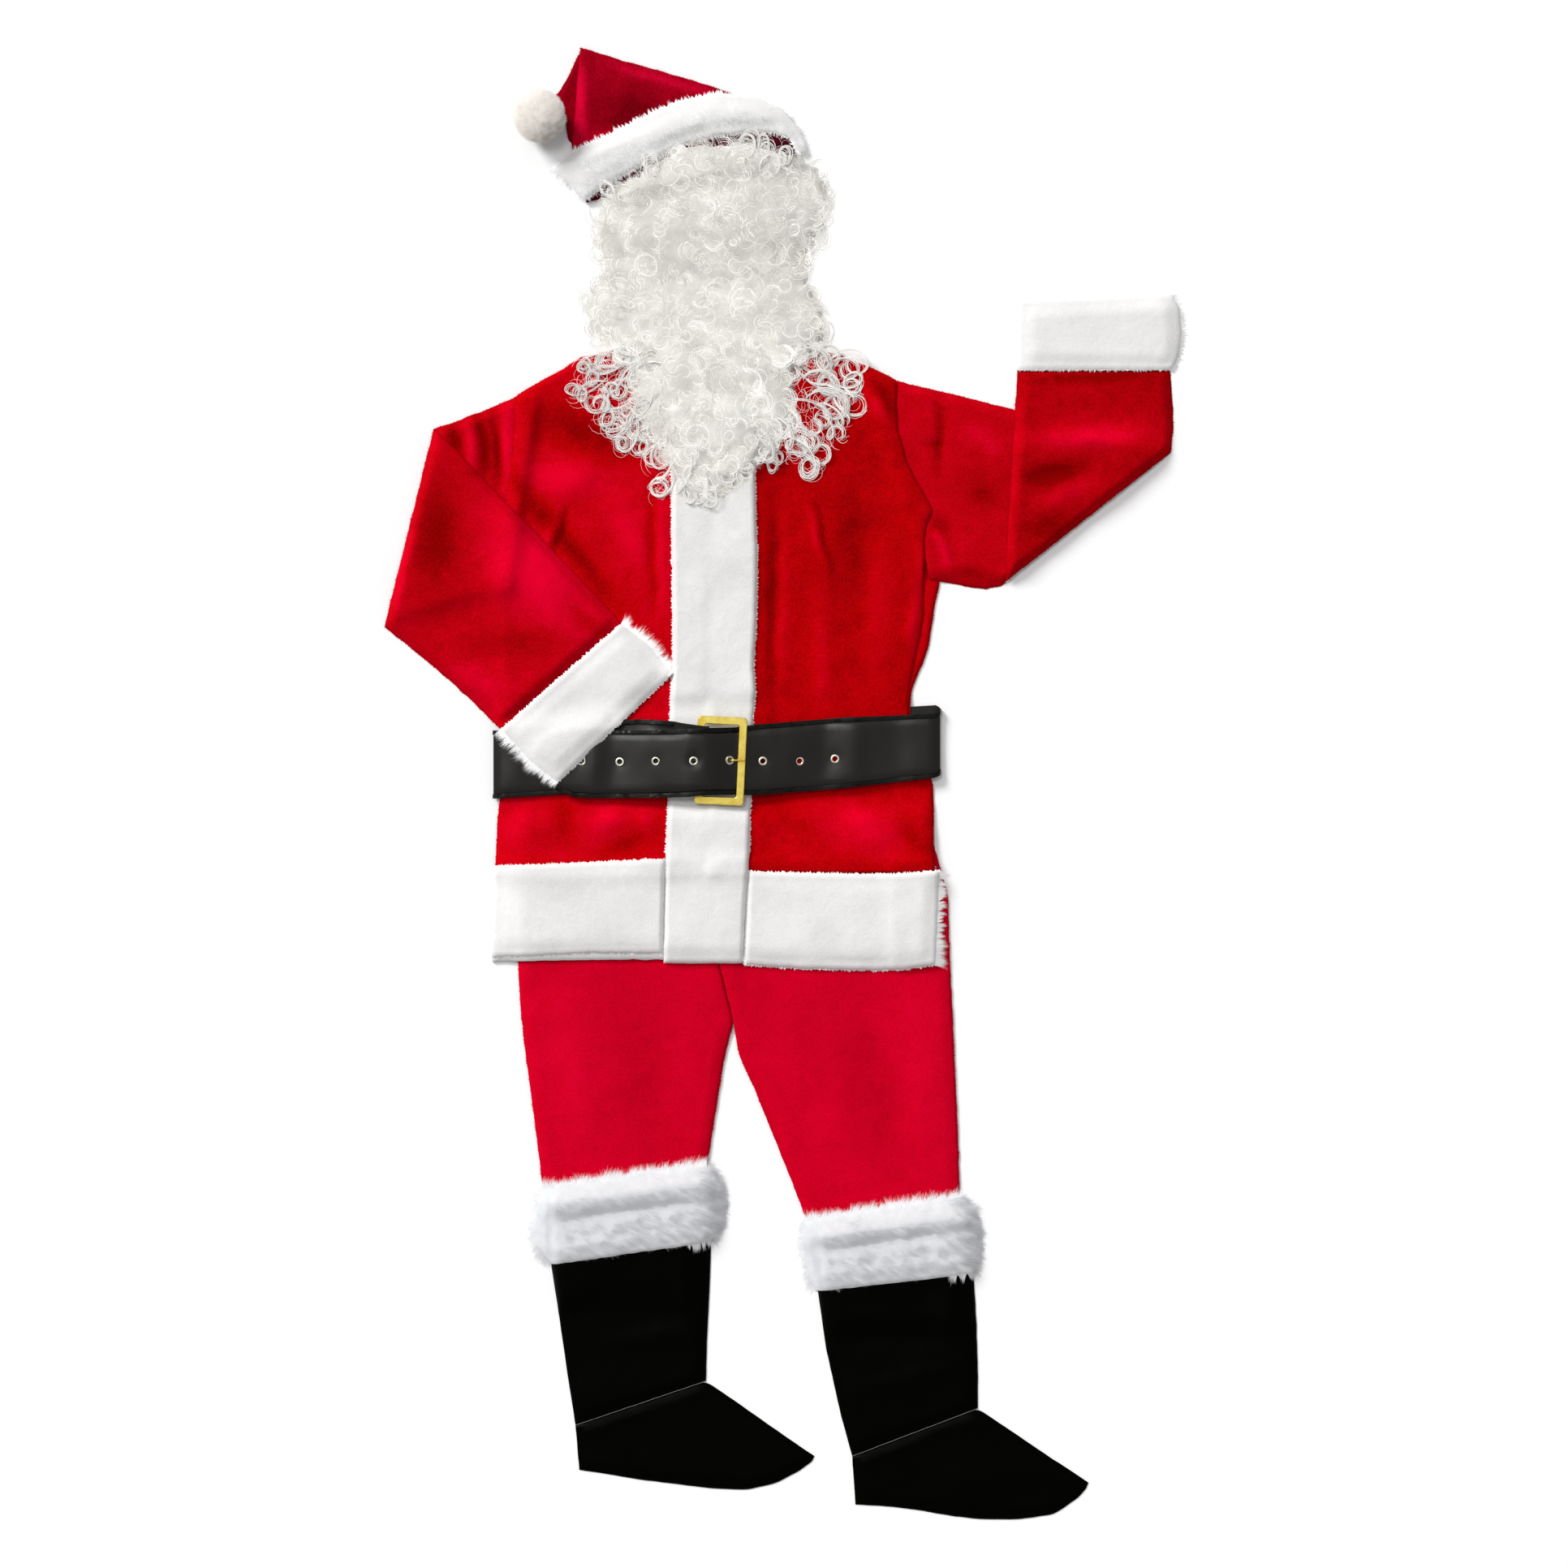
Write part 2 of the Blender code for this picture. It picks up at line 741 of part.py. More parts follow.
class Sleeve:
    """A flattened sleeve, folded back over itself along a slanting line.

    Wall B lies on the table below the fold and on top above it; wall A is the inner one all the way. At the
    fold both turn round one axis. Each surface keeps its own distance from that axis: A outside, A inside,
    B inside, B outside.
    """

    radii = (FOLD_RADIUS, FOLD_RADIUS + CLOTH, FOLD_RADIUS + CLOTH + GAP, FOLD_RADIUS + 2 * CLOTH + GAP)

    def __init__(self, name, under, fold, over, across=6):
        self.name = name
        self.across = across
        self.fold_ends = ends([fold])
        self.under = closer(*ends([*under, fold]), 0.085)
        self.over = ends(over)
        self.surfaces = [[] for _ in self.radii]

    def places(self, first, last, inset):
        width = np.linalg.norm(last - first)
        share = inset / width
        shares = share + (1 - 2 * share) * np.linspace(0, 1, self.across + 1)
        return first + (last - first) * shares[:, None]

    def outward(self):
        """The level direction from the sleeve to beyond its fold."""
        first, last = (end[0] for end in self.fold_ends)
        along = (last - first) / np.linalg.norm(last - first)
        normal = np.array([along[1], -along[0]])
        inside = (self.under[0][0] + self.under[1][0]) / 2
        if np.dot(normal, inside - first) > 0:
            normal = -normal
        return normal

    def add_row(self, first, last, centre, angle):
        """One ring: every surface set off from the axis heights by its radius, turned by the angle."""
        level = self.outward() * math.cos(angle)
        rise = math.sin(angle)
        for k, radius in enumerate(self.radii):
            inset = CLOTH if k in (0, 3) else 1.5 * CLOTH
            places = self.places(first, last, inset) + level * radius
            self.surfaces[k].append(np.column_stack([places, centre + rise * radius]))

    def lay_under(self, laid):
        rest = np.full(self.across + 1, self.radii[3])
        axis_shift = self.outward() * self.radii[3]
        first, last = self.under
        for i in range(len(first) - 1):
            self.add_row(first[i], last[i], rest, -math.pi / 2)
        first, last = (end[0] - axis_shift for end in self.fold_ends)
        for step in range(FOLD_STEPS + 1):
            angle = -math.pi / 2 + math.pi * step / FOLD_STEPS
            self.add_row(first, last, rest, angle)
        laid.add(np.array(self.surfaces[0][: len(self.under[0])]))

    def lay_over(self, laid):
        first, last = self.over
        turn = len(self.surfaces[0]) - 1
        grid = [self.surfaces[0][turn][:, :2]]
        for i in range(len(first)):
            grid.append(self.places(first[i], last[i], CLOTH))
        heights = laid.clear(np.array(grid))
        for i in range(len(first)):
            self.add_row(first[i], last[i], heights[i + 1] - self.radii[0], math.pi / 2)
        lift = np.maximum(heights[0] - self.surfaces[0][turn][:, 2], 0)
        for surface in self.surfaces:
            surface[turn][:, 2] += lift
        return np.array(self.surfaces[3][turn:])

    def side_points(self, inset):
        """Points half-way between the walls at both sides, pushed out to the sleeve's edges."""
        inner_a, inner_b = (np.array(self.surfaces[k]) for k in (1, 2))
        middle = (inner_a + inner_b) / 2
        out_left = middle[:, 0] - middle[:, 1]
        out_right = middle[:, -1] - middle[:, -2]
        reach = 1.5 * CLOTH - inset
        left = middle[:, 0] + reach * out_left / np.linalg.norm(out_left, axis=1)[:, None]
        right = middle[:, -1] + reach * out_right / np.linalg.norm(out_right, axis=1)[:, None]
        return left, right

    def build(self):
        a_out, a_in, b_in, b_out = (np.array(surface) for surface in self.surfaces)
        outside = ring_sections((b_out, a_out), self.side_points(0.0))
        inside = ring_sections((b_in, a_in), self.side_points(CLOTH))
        body(self.name, inside, outside, "red_velour", closed=True)


def lay_forearm(laid, sleeve, name, cuff):
    """Lay a sleeve's upper part and the cuff that meets its end, side by side."""
    top = sleeve.lay_over(laid)
    sleeve.build()
    lay_cuff(laid, name, cuff)
    laid.add(top)


def pompom():
    """A ball of pile, flat where it rests."""
    ball = bmesh.new()
    bmesh.ops.create_uvsphere(ball, u_segments=20, v_segments=12, radius=POMPOM_RADIUS)
    for vert in ball.verts:
        vert.co.x += POMPOM_CENTRE[0]
        vert.co.y += POMPOM_CENTRE[1]
        vert.co.z = max(vert.co.z + POMPOM_CENTRE[2], 0.0)
    bmesh.ops.dissolve_degenerate(ball, dist=0.00001, edges=ball.edges)
    mesh = bpy.data.meshes.new("hat_pompom")
    ball.to_mesh(mesh)
    ball.free()
    add_object("hat_pompom", mesh, "white_plush")


def edge_at(table, x):
    """The strap's bottom and top edges at a place along it."""
    xs = [row.x * MM for row in table]
    bottom = np.interp(x, xs, [row.bottom * MM for row in table])
    top = np.interp(x, xs, [row.top * MM for row in table])
    return bottom, top


Step = namedtuple("Step", "x z bottom top")


class Belt:
    """One strap round the jacket: tip, front, right turn, back, left turn, buckle end.

    Its path is a list of steps through the strap's mid-thickness; the outer face is on the left of the path.
    """

    def __init__(self, laid):
        self.laid = laid
        self.half = STRAP / 2
        self.back = GAP + BINDING + self.half
        self.steps = []

    def ground(self, table, x, reach):
        bottom, top = edge_at(table, x)
        return self.laid.highest(x - reach, x + reach, bottom, top)

    def frame_level(self):
        """The height of the buckle frame's underside."""
        centre_x, centre_y = FRAME_CENTRE
        half_x, half_y = FRAME_SIZE[0] / 2, FRAME_SIZE[1] / 2
        ground = self.laid.highest(
            centre_x - half_x, centre_x + half_x, centre_y - half_y, centre_y + half_y
        )
        return ground + STRAP_LIFT + STRAP + GAP + BINDING + GAP

    def bars(self):
        """The middle of the frame's left and right bars."""
        reach = (FRAME_SIZE[0] - FRAME_BAR) / 2
        return FRAME_CENTRE[0] - reach, FRAME_CENTRE[0] + reach

    def loop_start(self):
        """Where the strap's turn round the leaning left bar begins."""
        return self.bars()[0] + FRAME_BAR / 2 + FRAME_SIZE[1] / 2 * abs(math.sin(FRAME_LEAN))

    def add(self, table, x, z):
        bottom, top = edge_at(table, x)
        self.steps.append(Step(x, z, bottom, top))

    def under_heights(self):
        """Heights of the buckle end's mid-thickness, from the left turn to the left bar."""
        bar = self.bars()[0]
        places = np.linspace(WRAP_LEFT + 0.02, bar - 0.035, 10)
        heights = [self.ground(STRAP_UNDER, x, 0.03) + GAP + self.half for x in places]
        level = self.frame_level() - GAP - self.half
        places = np.append(places, [bar - 0.010, self.loop_start()])
        heights = np.append(heights, [level, level])
        return places, np.array(heights)

    def over_heights(self):
        """Heights of the punched end's mid-thickness, from its tip to the right turn.

        It runs straight past every eyelet, over the left bar and down through the frame.
        """
        left_bar, right_bar = self.bars()
        under_x, under_z = self.under_heights()
        beside = []
        for place in EYELETS:
            beside += [place.x * MM - EYELET_SEAT, place.x * MM + EYELET_SEAT]
        places = [row.x * MM for row in STRAP_TIP] + beside[:6]
        heights = []
        for x in places:
            below = np.interp([x - 0.035, x, x + 0.035], under_x, under_z).max()
            heights.append(below + self.half + GAP + EYELET_LIP + GAP + self.half)
        hump = self.frame_level() + FRAME_SIZE[2] + GAP + STRAP + GAP + EYELET_LIP + GAP + self.half
        low = self.frame_level() - GAP - BINDING - GAP - self.half
        places += [beside[6], left_bar + 0.010, right_bar - 0.0095, right_bar + 0.009]
        heights += [hump, hump, low, low]
        onward = [*beside[10:], *np.linspace(beside[-1] + 0.03, WRAP_RIGHT - 0.008, 5)]
        for x in onward:
            places.append(x)
            heights.append(self.ground(STRAP_OVER, x, 0.035) + STRAP_LIFT + self.half)
        return np.array(places), np.array(heights)

    def turn(self, x, top, sign, start, end):
        """Half a circle from the front to the back of the belt, or back up again."""
        radius = (top - self.back) / 2
        centre = (top + self.back) / 2
        from_top = radius if start is not STRAP_BACK else -radius
        for k in range(TURN_STEPS + 1):
            share = k / TURN_STEPS
            place = x + sign * radius * (math.sin(math.pi * share) - 1)
            first, last = edge_at(start, x), edge_at(end, x)
            bottom = first[0] + (last[0] - first[0]) * share
            high = first[1] + (last[1] - first[1]) * share
            self.steps.append(Step(place, centre + from_top * math.cos(math.pi * share), bottom, high))
        return place

    def lay_path(self):
        over = [*STRAP_TIP, *STRAP_OVER]
        xs, zs = self.over_heights()
        for x, z in zip(xs, zs):
            self.add(over, x, z)
        right = self.turn(WRAP_RIGHT - self.half, zs[-1], 1, STRAP_OVER, STRAP_BACK)
        under_x, under_z = self.under_heights()
        left = WRAP_LEFT + self.half + (under_z[0] - self.back) / 2
        for x in np.linspace(right, left, 11)[1:-1]:
            self.add(STRAP_BACK, x, self.back)
        self.turn(WRAP_LEFT + self.half, under_z[0], -1, STRAP_BACK, STRAP_UNDER)
        for x, z in zip(under_x, under_z):
            self.add(STRAP_UNDER, x, z)
        self.strap_end = len(self.steps)
        self.loop()

    def loop(self):
        """The buckle end turned back over the left bar."""
        bar = self.bars()[0]
        level = self.frame_level()
        low = level - GAP - self.half
        high = level + FRAME_SIZE[2] + GAP + self.half
        radius = (high - low) / 2
        edge = self.loop_start()
        for k in range(1, 4):
            angle = -math.pi / 2 + math.pi * k / 4
            x = edge + radius * math.cos(angle)
            bottom, top = edge_at(STRAP_UNDER, bar)
            self.steps.append(Step(x, (high + low) / 2 + radius * math.sin(angle), bottom, top))
        self.add(STRAP_UNDER, edge - 0.001, high)
        self.add(STRAP_UNDER, bar - 0.024, high)

    def normals(self):
        """The outward direction at each step, in the upright plane along the belt."""
        line = np.array([(step.x, step.z) for step in self.steps])
        ahead = np.diff(line, axis=0)
        ahead /= np.linalg.norm(ahead, axis=1)[:, None]
        mean = np.vstack([ahead[:1], (ahead[:-1] + ahead[1:]) / 2, ahead[-1:]])
        length = np.linalg.norm(mean, axis=1)[:, None]
        return np.column_stack([-mean[:, 1], mean[:, 0]]) / length**2

    def ribbon(self, low, high, edges, count):
        """Two skins at two distances from the strap's mid-thickness, between two long edges."""
        normals = self.normals()[:count]
        skins = []
        for offset in (low, high):
            skin = np.zeros((count, len(edges[0]), 3))
            for i, step in enumerate(self.steps[:count]):
                skin[i, :, 0] = step.x + normals[i, 0] * offset
                skin[i, :, 1] = edges[i]
                skin[i, :, 2] = step.z + normals[i, 1] * offset
            skins.append(skin)
        return skins

    def strap(self):
        edges = [(step.bottom, step.top) for step in self.steps]
        inner, outer = self.ribbon(-self.half, self.half, edges, len(self.steps))
        made = body("belt_strap", inner, outer, "belt_vinyl")
        for cutter in (*self.hole_cutters(), self.slot_cutter()):
            cut = made.modifiers.new("hole", "BOOLEAN")
            cut.operation = "DIFFERENCE"
            cut.object = cutter

    def bindings(self):
        """A thin strip along each long edge, on the strap's outer face."""
        low = self.half + GAP
        count = self.strap_end - 2
        top = [(step.top - BINDING_WIDTH, step.top) for step in self.steps[:count]]
        bottom = [(step.bottom, step.bottom + BINDING_WIDTH) for step in self.steps[:count]]
        for name, edges in (("belt_binding_top", top), ("belt_binding_bottom", bottom)):
            inner, outer = self.ribbon(low, low + BINDING, edges, count)
            body(name, inner, outer, "belt_vinyl")

    def seat(self, place):
        """Where the punched end's mid-thickness is at a place, and how it leans there."""
        xs, zs = self.over_heights()
        x = place.x * MM
        z = np.interp(x, xs, zs)
        slope = (np.interp(x + 0.004, xs, zs) - np.interp(x - 0.004, xs, zs)) / 0.008
        return (x, place.y * MM, z), -math.atan(slope)

    def hole_cutters(self):
        radius = EYELET_HOLE + EYELET_WALL + GAP
        made = []
        for i, place in enumerate(EYELETS):
            where, lean = self.seat(place)
            ring = bmesh.new()
            bmesh.ops.create_cone(
                ring, cap_ends=True, segments=16, radius1=radius, radius2=radius, depth=STRAP * 2
            )
            made.append(cutter(f"hole_{i + 1}", ring, where, lean))
        return made

    def slot_cutter(self):
        """The slot in the turned-back end that the prong moves in."""
        bar = self.bars()[0]
        block = bmesh.new()
        bmesh.ops.create_cube(block, size=1.0)
        high = self.frame_level() + FRAME_SIZE[2] + GAP + STRAP
        low = self.frame_level() - GAP - STRAP
        bmesh.ops.scale(block, verts=block.verts, vec=(0.032, 0.015, high - low + GAP))
        return cutter("slot", block, (bar + 0.001, EYELETS[3].y * MM, (high + low) / 2), 0.0)

    def eyelets(self):
        """Grommets: a barrel through the strap with a lip on each face."""
        lip = self.half + GAP
        wall = EYELET_HOLE + EYELET_WALL
        profile = [
            (EYELET_HOLE, lip + EYELET_LIP * 0.7),
            (EYELET_HOLE + 0.5 * MM, lip + EYELET_LIP),
            (EYELET_FLANGE - 0.5 * MM, lip + EYELET_LIP * 0.8),
            (EYELET_FLANGE, lip),
            (wall, lip),
            (wall, -lip),
            (EYELET_FLANGE, -lip),
            (EYELET_FLANGE - 0.5 * MM, -lip - EYELET_LIP * 0.8),
            (EYELET_HOLE, -lip - EYELET_LIP * 0.8),
        ]
        for i, place in enumerate(EYELETS):
            where, lean = self.seat(place)
            mesh = bpy.data.meshes.new(f"belt_eyelet_{i + 1}")
            points = [(r, 0.0, z) for r, z in profile]
            edges = [(k, (k + 1) % len(points)) for k in range(len(points))]
            mesh.from_pydata(points, edges, [])
            mesh.materials.append(finish("gold_metal"))
            made = bpy.data.objects.new(mesh.name, mesh)
            SUIT.objects.link(made)
            screw = made.modifiers.new("turn", "SCREW")
            screw.steps = 14
            screw.render_steps = 14
            screw.use_merge_vertices = True
            screw.merge_threshold = 0.00001
            screw.use_smooth_shade = True
            made.location = where
            made.rotation_euler = (0.0, lean, 0.0)

    def frame(self):
        """The buckle's flat frame with one wide window."""
        plate = rounded_plate(FRAME_SIZE, FRAME_CORNER)
        window = [FRAME_SIZE[0] - 2 * FRAME_BAR, FRAME_SIZE[1] - 2 * FRAME_BAR, FRAME_SIZE[2] * 3]
        level = self.frame_level() + FRAME_SIZE[2] / 2
        mesh = bpy.data.meshes.new("belt_buckle_frame")
        plate.to_mesh(mesh)
        plate.free()
        made = add_object(mesh.name, mesh, "gold_metal")
        made.location = (*FRAME_CENTRE, level)
        made.rotation_euler = (0.0, 0.0, FRAME_LEAN)
        cut = made.modifiers.new("window", "BOOLEAN")
        cut.operation = "DIFFERENCE"
        cut.object = cutter(
            "window", rounded_plate(window, FRAME_CORNER / 2), made.location, 0.0, FRAME_LEAN
        )
        soften = made.modifiers.new("soften", "BEVEL")
        soften.width = 0.8 * MM
        soften.segments = 1
        soften.limit_method = "ANGLE"
        soften.angle_limit = math.radians(50)

    def prong(self):
        """A rod hooked over the left bar, up through the fifth eyelet and onto the right bar."""
        left_bar, right_bar = self.bars()
        level = self.frame_level()
        over = level + FRAME_SIZE[2] + GAP + PRONG_RADIUS
        ground = level - GAP - BINDING - GAP - STRAP - STRAP_LIFT
        low = ground + GAP + PRONG_RADIUS
        hook = left_bar - FRAME_BAR / 2 - GAP - PRONG_RADIUS
        hole, _lean = self.seat(EYELETS[4])
        climb = np.array([0.6, 0.8])
        centre = np.array([hole[0], hole[2]])
        start = centre - climb * (centre[1] - low) / climb[1]
        end = centre + climb * (over - 1.5 * MM - centre[1]) / climb[1]
        route = [
            (hook, level + 1.0 * MM),
            (hook, over - 1.5 * MM),
            (hook + 1.5 * MM, over),
            (left_bar + FRAME_BAR / 2 + 3 * MM, over),
            (start[0] - 4 * MM, low),
            (start[0], low),
            (end[0], end[1]),
            (end[0] + 2.5 * MM, over),
            (right_bar + FRAME_BAR / 2 - 1 * MM, over),
        ]
        curve = bpy.data.curves.new("belt_buckle_prong", "CURVE")
        curve.dimensions = "3D"
        curve.bevel_depth = PRONG_RADIUS
        curve.bevel_resolution = 2
        curve.use_fill_caps = True
        line = curve.splines.new("POLY")
        line.points.add(len(route) - 1)
        for point, (x, z) in zip(line.points, route):
            point.co = (x, EYELETS[4].y * MM, z, 1.0)
        curve.materials.append(finish("gold_metal"))
        SUIT.objects.link(bpy.data.objects.new(curve.name, curve))

    def cover(self):
        """Add the belt's front to what lies on the table."""
        count = len(self.steps)
        edges = [(step.bottom, step.top) for step in self.steps]
        lip = self.half + GAP + EYELET_LIP
        _inner, outer = self.ribbon(-self.half, lip, edges, count)
        self.laid.add(outer)
        top = self.frame_level() + FRAME_SIZE[2]
        centre_x, centre_y = FRAME_CENTRE
        xs = [centre_x - FRAME_SIZE[0] / 2, centre_x + FRAME_SIZE[0] / 2]
        ys = [centre_y - FRAME_SIZE[1] / 2, centre_y + FRAME_SIZE[1] / 2]
        self.laid.add(np.array([[(x, y, top) for y in ys] for x in xs]))


def rounded_plate(size, corner):
    plate = bmesh.new()
    bmesh.ops.create_cube(plate, size=1.0)
    bmesh.ops.scale(plate, verts=plate.verts, vec=size)
    upright = [e for e in plate.edges if abs(e.verts[0].co.z - e.verts[1].co.z) > size[2] / 2]
    bmesh.ops.bevel(plate, geom=upright, offset=corner, segments=4, profile=0.5, affect="EDGES")
    return plate


def cutter(name, shape, where, lean, turn=0.0):
    mesh = bpy.data.meshes.new(name)
    shape.to_mesh(mesh)
    shape.free()
    made = bpy.data.objects.new(name, mesh)
    made.location = where
    made.rotation_euler = (0.0, lean, turn)
    made.hide_render = True
    made.display_type = "WIRE"
    CUTTERS.objects.link(made)
    return made


def back_strap(laid):
    """Keep room for the belt's back, which lies on the table under the jacket."""
    top = GAP + BINDING + STRAP
    rows = [[(x, y, top) for y in edge_at(STRAP_BACK, x)] for x in (WRAP_LEFT + 0.006, WRAP_RIGHT - 0.006)]
    laid.add(np.array(rows))


def main():
    laid = Laid()
    # Hat, from the table up
    lay(laid, cloth("hat_tip", "red_velour", HAT_TIP, 2))
    pompom()
    lay(laid, plush("hat_band_back", HAT_BAND_BACK, 4))
    lay(laid, cloth("hat_crown_back", "red_velour", HAT_CROWN_BACK, 4))
    lay(laid, cloth("hat_crown_front", "red_velour", HAT_CROWN_FRONT, 4))
    # Boot covers round the trouser legs
    furs = [lay_fur(laid, "boot_l_fur", BOOT_LEFT_FUR), lay_fur(laid, "boot_r_fur", BOOT_RIGHT_FUR)]
    boots = (
        ("boot_l_shaft", BOOT_LEFT_SHAFT),
        ("boot_l_foot", BOOT_LEFT_FOOT),
        ("boot_r_shaft", BOOT_RIGHT_SHAFT),
        ("boot_r_foot", BOOT_RIGHT_FOOT),
    )
    lay(laid, *[cloth(f"{name}_under", "boot_vinyl", table, 4) for name, table in boots])
    for side in ("back", "front"):
        lay(
            laid,
            cloth(f"trouser_{side}_l", "red_velour", TROUSER_LEFT, 4),
            cloth(f"trouser_{side}_r", "red_velour", TROUSER_RIGHT, 4),
        )
    lay(laid, *[cloth(f"{name}_over", "boot_vinyl", table, 4) for name, table in boots])
    for fur in furs:
        fur.lay_over(laid, FUR_OVER)
        fur.build()
    # Jacket over the belt's back and the top of the trousers
    back_strap(laid)
    lay(laid, plush("hem_band_back", HEM_BAND_BACK, 4))
    lay(laid, cloth("jacket_back", "red_velour", JACKET_BACK, 8))
    sleeve_right = Sleeve("sleeve_r", SLEEVE_RIGHT_UNDER, SLEEVE_RIGHT_FOLD, SLEEVE_RIGHT_OVER)
    sleeve_left = Sleeve("sleeve_l", SLEEVE_LEFT_UNDER, SLEEVE_LEFT_FOLD, SLEEVE_LEFT_OVER)
    sleeve_right.lay_under(laid)
    sleeve_left.lay_under(laid)
    lay_forearm(laid, sleeve_right, "cuff_r", CUFF_RIGHT)
    lay(
        laid,
        cloth("jacket_front_l", "red_velour", JACKET_FRONT_LEFT, 5),
        cloth("jacket_front_r", "red_velour", JACKET_FRONT_RIGHT, 5),
    )
    lay(
        laid,
        press(plush("placket", PLACKET, 4), BELT_LOW, BELT_HIGH, PRESSED),
        plush("hem_band_l", HEM_BAND_LEFT, 4),
        plush("hem_band_r", HEM_BAND_RIGHT, 4),
    )
    # Belt
    belt = Belt(laid)
    belt.lay_path()
    belt.strap()
    belt.bindings()
    belt.eyelets()
    belt.frame()
    belt.prong()
    belt.cover()
    # Left forearm and cuff over the front and the belt
    lay_forearm(laid, sleeve_left, "cuff_l", CUFF_LEFT)
    # Hat band and hair
    lay(
        laid,
        plush("hat_band_front", HAT_BAND_FRONT, 4),
        hair("wig", WIG, 8),
        hair("beard", BEARD, 8),
    )


clear_scene()
SUIT = collection("santa_suit")
CUTTERS = collection("cutters")
main()
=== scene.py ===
"""The looks of a santa suit laid out flat: velour, plush, fur, curls, vinyl and gold.

Lengths in the tables are millimetres from the middle of the layout: +x to the right, +y towards the hat.
Sides are named as seen from above, l on the left and r on the right. Each piece of cloth is draped over
whatever is already laid, in the order in which the suit is laid out.
"""

import math
from collections import namedtuple

import bmesh
import bpy
import numpy as np
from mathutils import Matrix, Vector


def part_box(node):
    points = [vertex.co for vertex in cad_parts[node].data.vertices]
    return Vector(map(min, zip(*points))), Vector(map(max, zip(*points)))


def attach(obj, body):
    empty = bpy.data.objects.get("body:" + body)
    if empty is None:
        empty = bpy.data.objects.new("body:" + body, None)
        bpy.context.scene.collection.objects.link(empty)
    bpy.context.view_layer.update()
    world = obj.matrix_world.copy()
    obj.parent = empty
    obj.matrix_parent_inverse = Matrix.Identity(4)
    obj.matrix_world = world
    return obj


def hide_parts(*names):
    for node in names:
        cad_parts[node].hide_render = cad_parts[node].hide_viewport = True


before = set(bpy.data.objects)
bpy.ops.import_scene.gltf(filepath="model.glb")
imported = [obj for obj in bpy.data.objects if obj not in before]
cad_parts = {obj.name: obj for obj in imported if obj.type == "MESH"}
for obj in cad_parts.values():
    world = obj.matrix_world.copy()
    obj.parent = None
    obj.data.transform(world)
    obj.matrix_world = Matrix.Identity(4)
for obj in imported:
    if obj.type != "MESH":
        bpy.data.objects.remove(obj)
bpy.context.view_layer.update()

MM = 0.001
UP = np.array([0.0, 0.0, 1.0])
SIDES = ("l", "r")

# The table, as a grid of heights, and the gap between what lies on it
CELL = 2.5 * MM
TABLE_HALF = np.array([0.63, 1.07])
GAP = 0.4 * MM

# Mesh spacing, from the finest cloth to what lies hidden
FINE = 4 * MM
EVEN = 5 * MM
PLAIN = 6 * MM
COARSE = 8 * MM
HIDDEN = 12 * MM

# Thickness of each kind of cloth
VELOUR = 1.6 * MM
PLUSH = 3.4 * MM
VINYL = 1.2 * MM
THINNEST = 0.3 * MM

# How far from its borders a cloth rises to its full loft, and how many cells are turned under there
EASE = 16 * MM
PLUSH_EASE = 26 * MM
STRIP = 2

# A fold this high makes its cloth a whole tone brighter on its ridge and darker in its trough, as painted
# highlight and painted shade, and no tone goes further from the middle than the most
FOLD_SHADE_STEP = 11 * MM
MOST_TONE = 0.6

# Boot covers: heights of the undersides of their flat tubes, and how far the fur's cloth stays inside
# the outline of its hair, in millimetres
SHAFT_LOW = 0.8 * MM
FOOT_LOW = 0.6 * MM
FUR_LOW = 0.5 * MM
FUR_INSET = 6

# The belt: the height below which it runs behind the jacket, the stretch where it holds the jacket down
# and how softly that ends, how finely it is cut, and how many times its heights are spread beyond its
# borders and smoothed
BELT_BACK = 5 * MM
BELT_ZONE = (-24 * MM, 100 * MM)
PRESS_BLEND = 28 * MM
SLICE = 7 * MM
SPREAD_PASSES = 14
SMOOTH_PASSES = 10

# Hair: how far its strands reach past the mass, how far apart the curls are, the line between the wig,
# above, and the beard, below, and the middle of the beard, which the loose locks come from
HAIR_REACH = 7 * MM
CURL_GAP = 11.5 * MM
CHIN = 681 * MM
BEARD_MIDDLE = np.array([-92, 560]) * MM

# The pompom: its middle, the radius of its core and how many hairs it has
POMPOM = np.array([-330, 901, 33.5]) * MM
POMPOM_CORE = 31 * MM
POMPOM_HAIRS = 24000

# Seeds of what is drawn at random, apart from those made from a piece's name
BELT_SEED = 5
DOME_SEED = 5
HAIR_SEED = 21
CURL_SEED = 31
LOOSE_SEED = 33
HAZE_SEED = 37
POMPOM_SEED = 9

# The camera takes in a square this wide, in metres, on a plane at this height
VIEW = 2.1252
EYE_PLANE = 8 * MM
LENS = 85
SENSOR = 36

# Two suns, each with its strength, the direction that it shines from and its width in degrees
Sun = namedtuple("Sun", "energy place width")
SUNS = {"key": Sun(2.9, (-1.3, 1.3, 1.15), 20), "softbox": Sun(0.7, (-0.30, 0.32, 1), 16)}
WORLD = 0.38
FLOOR_TINT = [0.945, 0.945, 0.945, 1]

# A section across a piece, level or from one point to another, and one of the hair with its depth
Row = namedtuple("Row", "y left right")
Span = namedtuple("Span", "ax ay bx by")
Lock = namedtuple("Lock", "y left right depth")

# A fold along a line, whose height is a tone in the tables of tones, and a loose curl round its middle
Crease = namedtuple("Crease", "ax ay bx by width height")
Curl = namedtuple("Curl", "x y radius")

# How round each border is: a radius in millimetres, below 0 where the cloth doesn't ease down to it
Rolls = namedtuple("Rolls", "start end left right")
CUT = Rolls(0, 0, 0, 0)

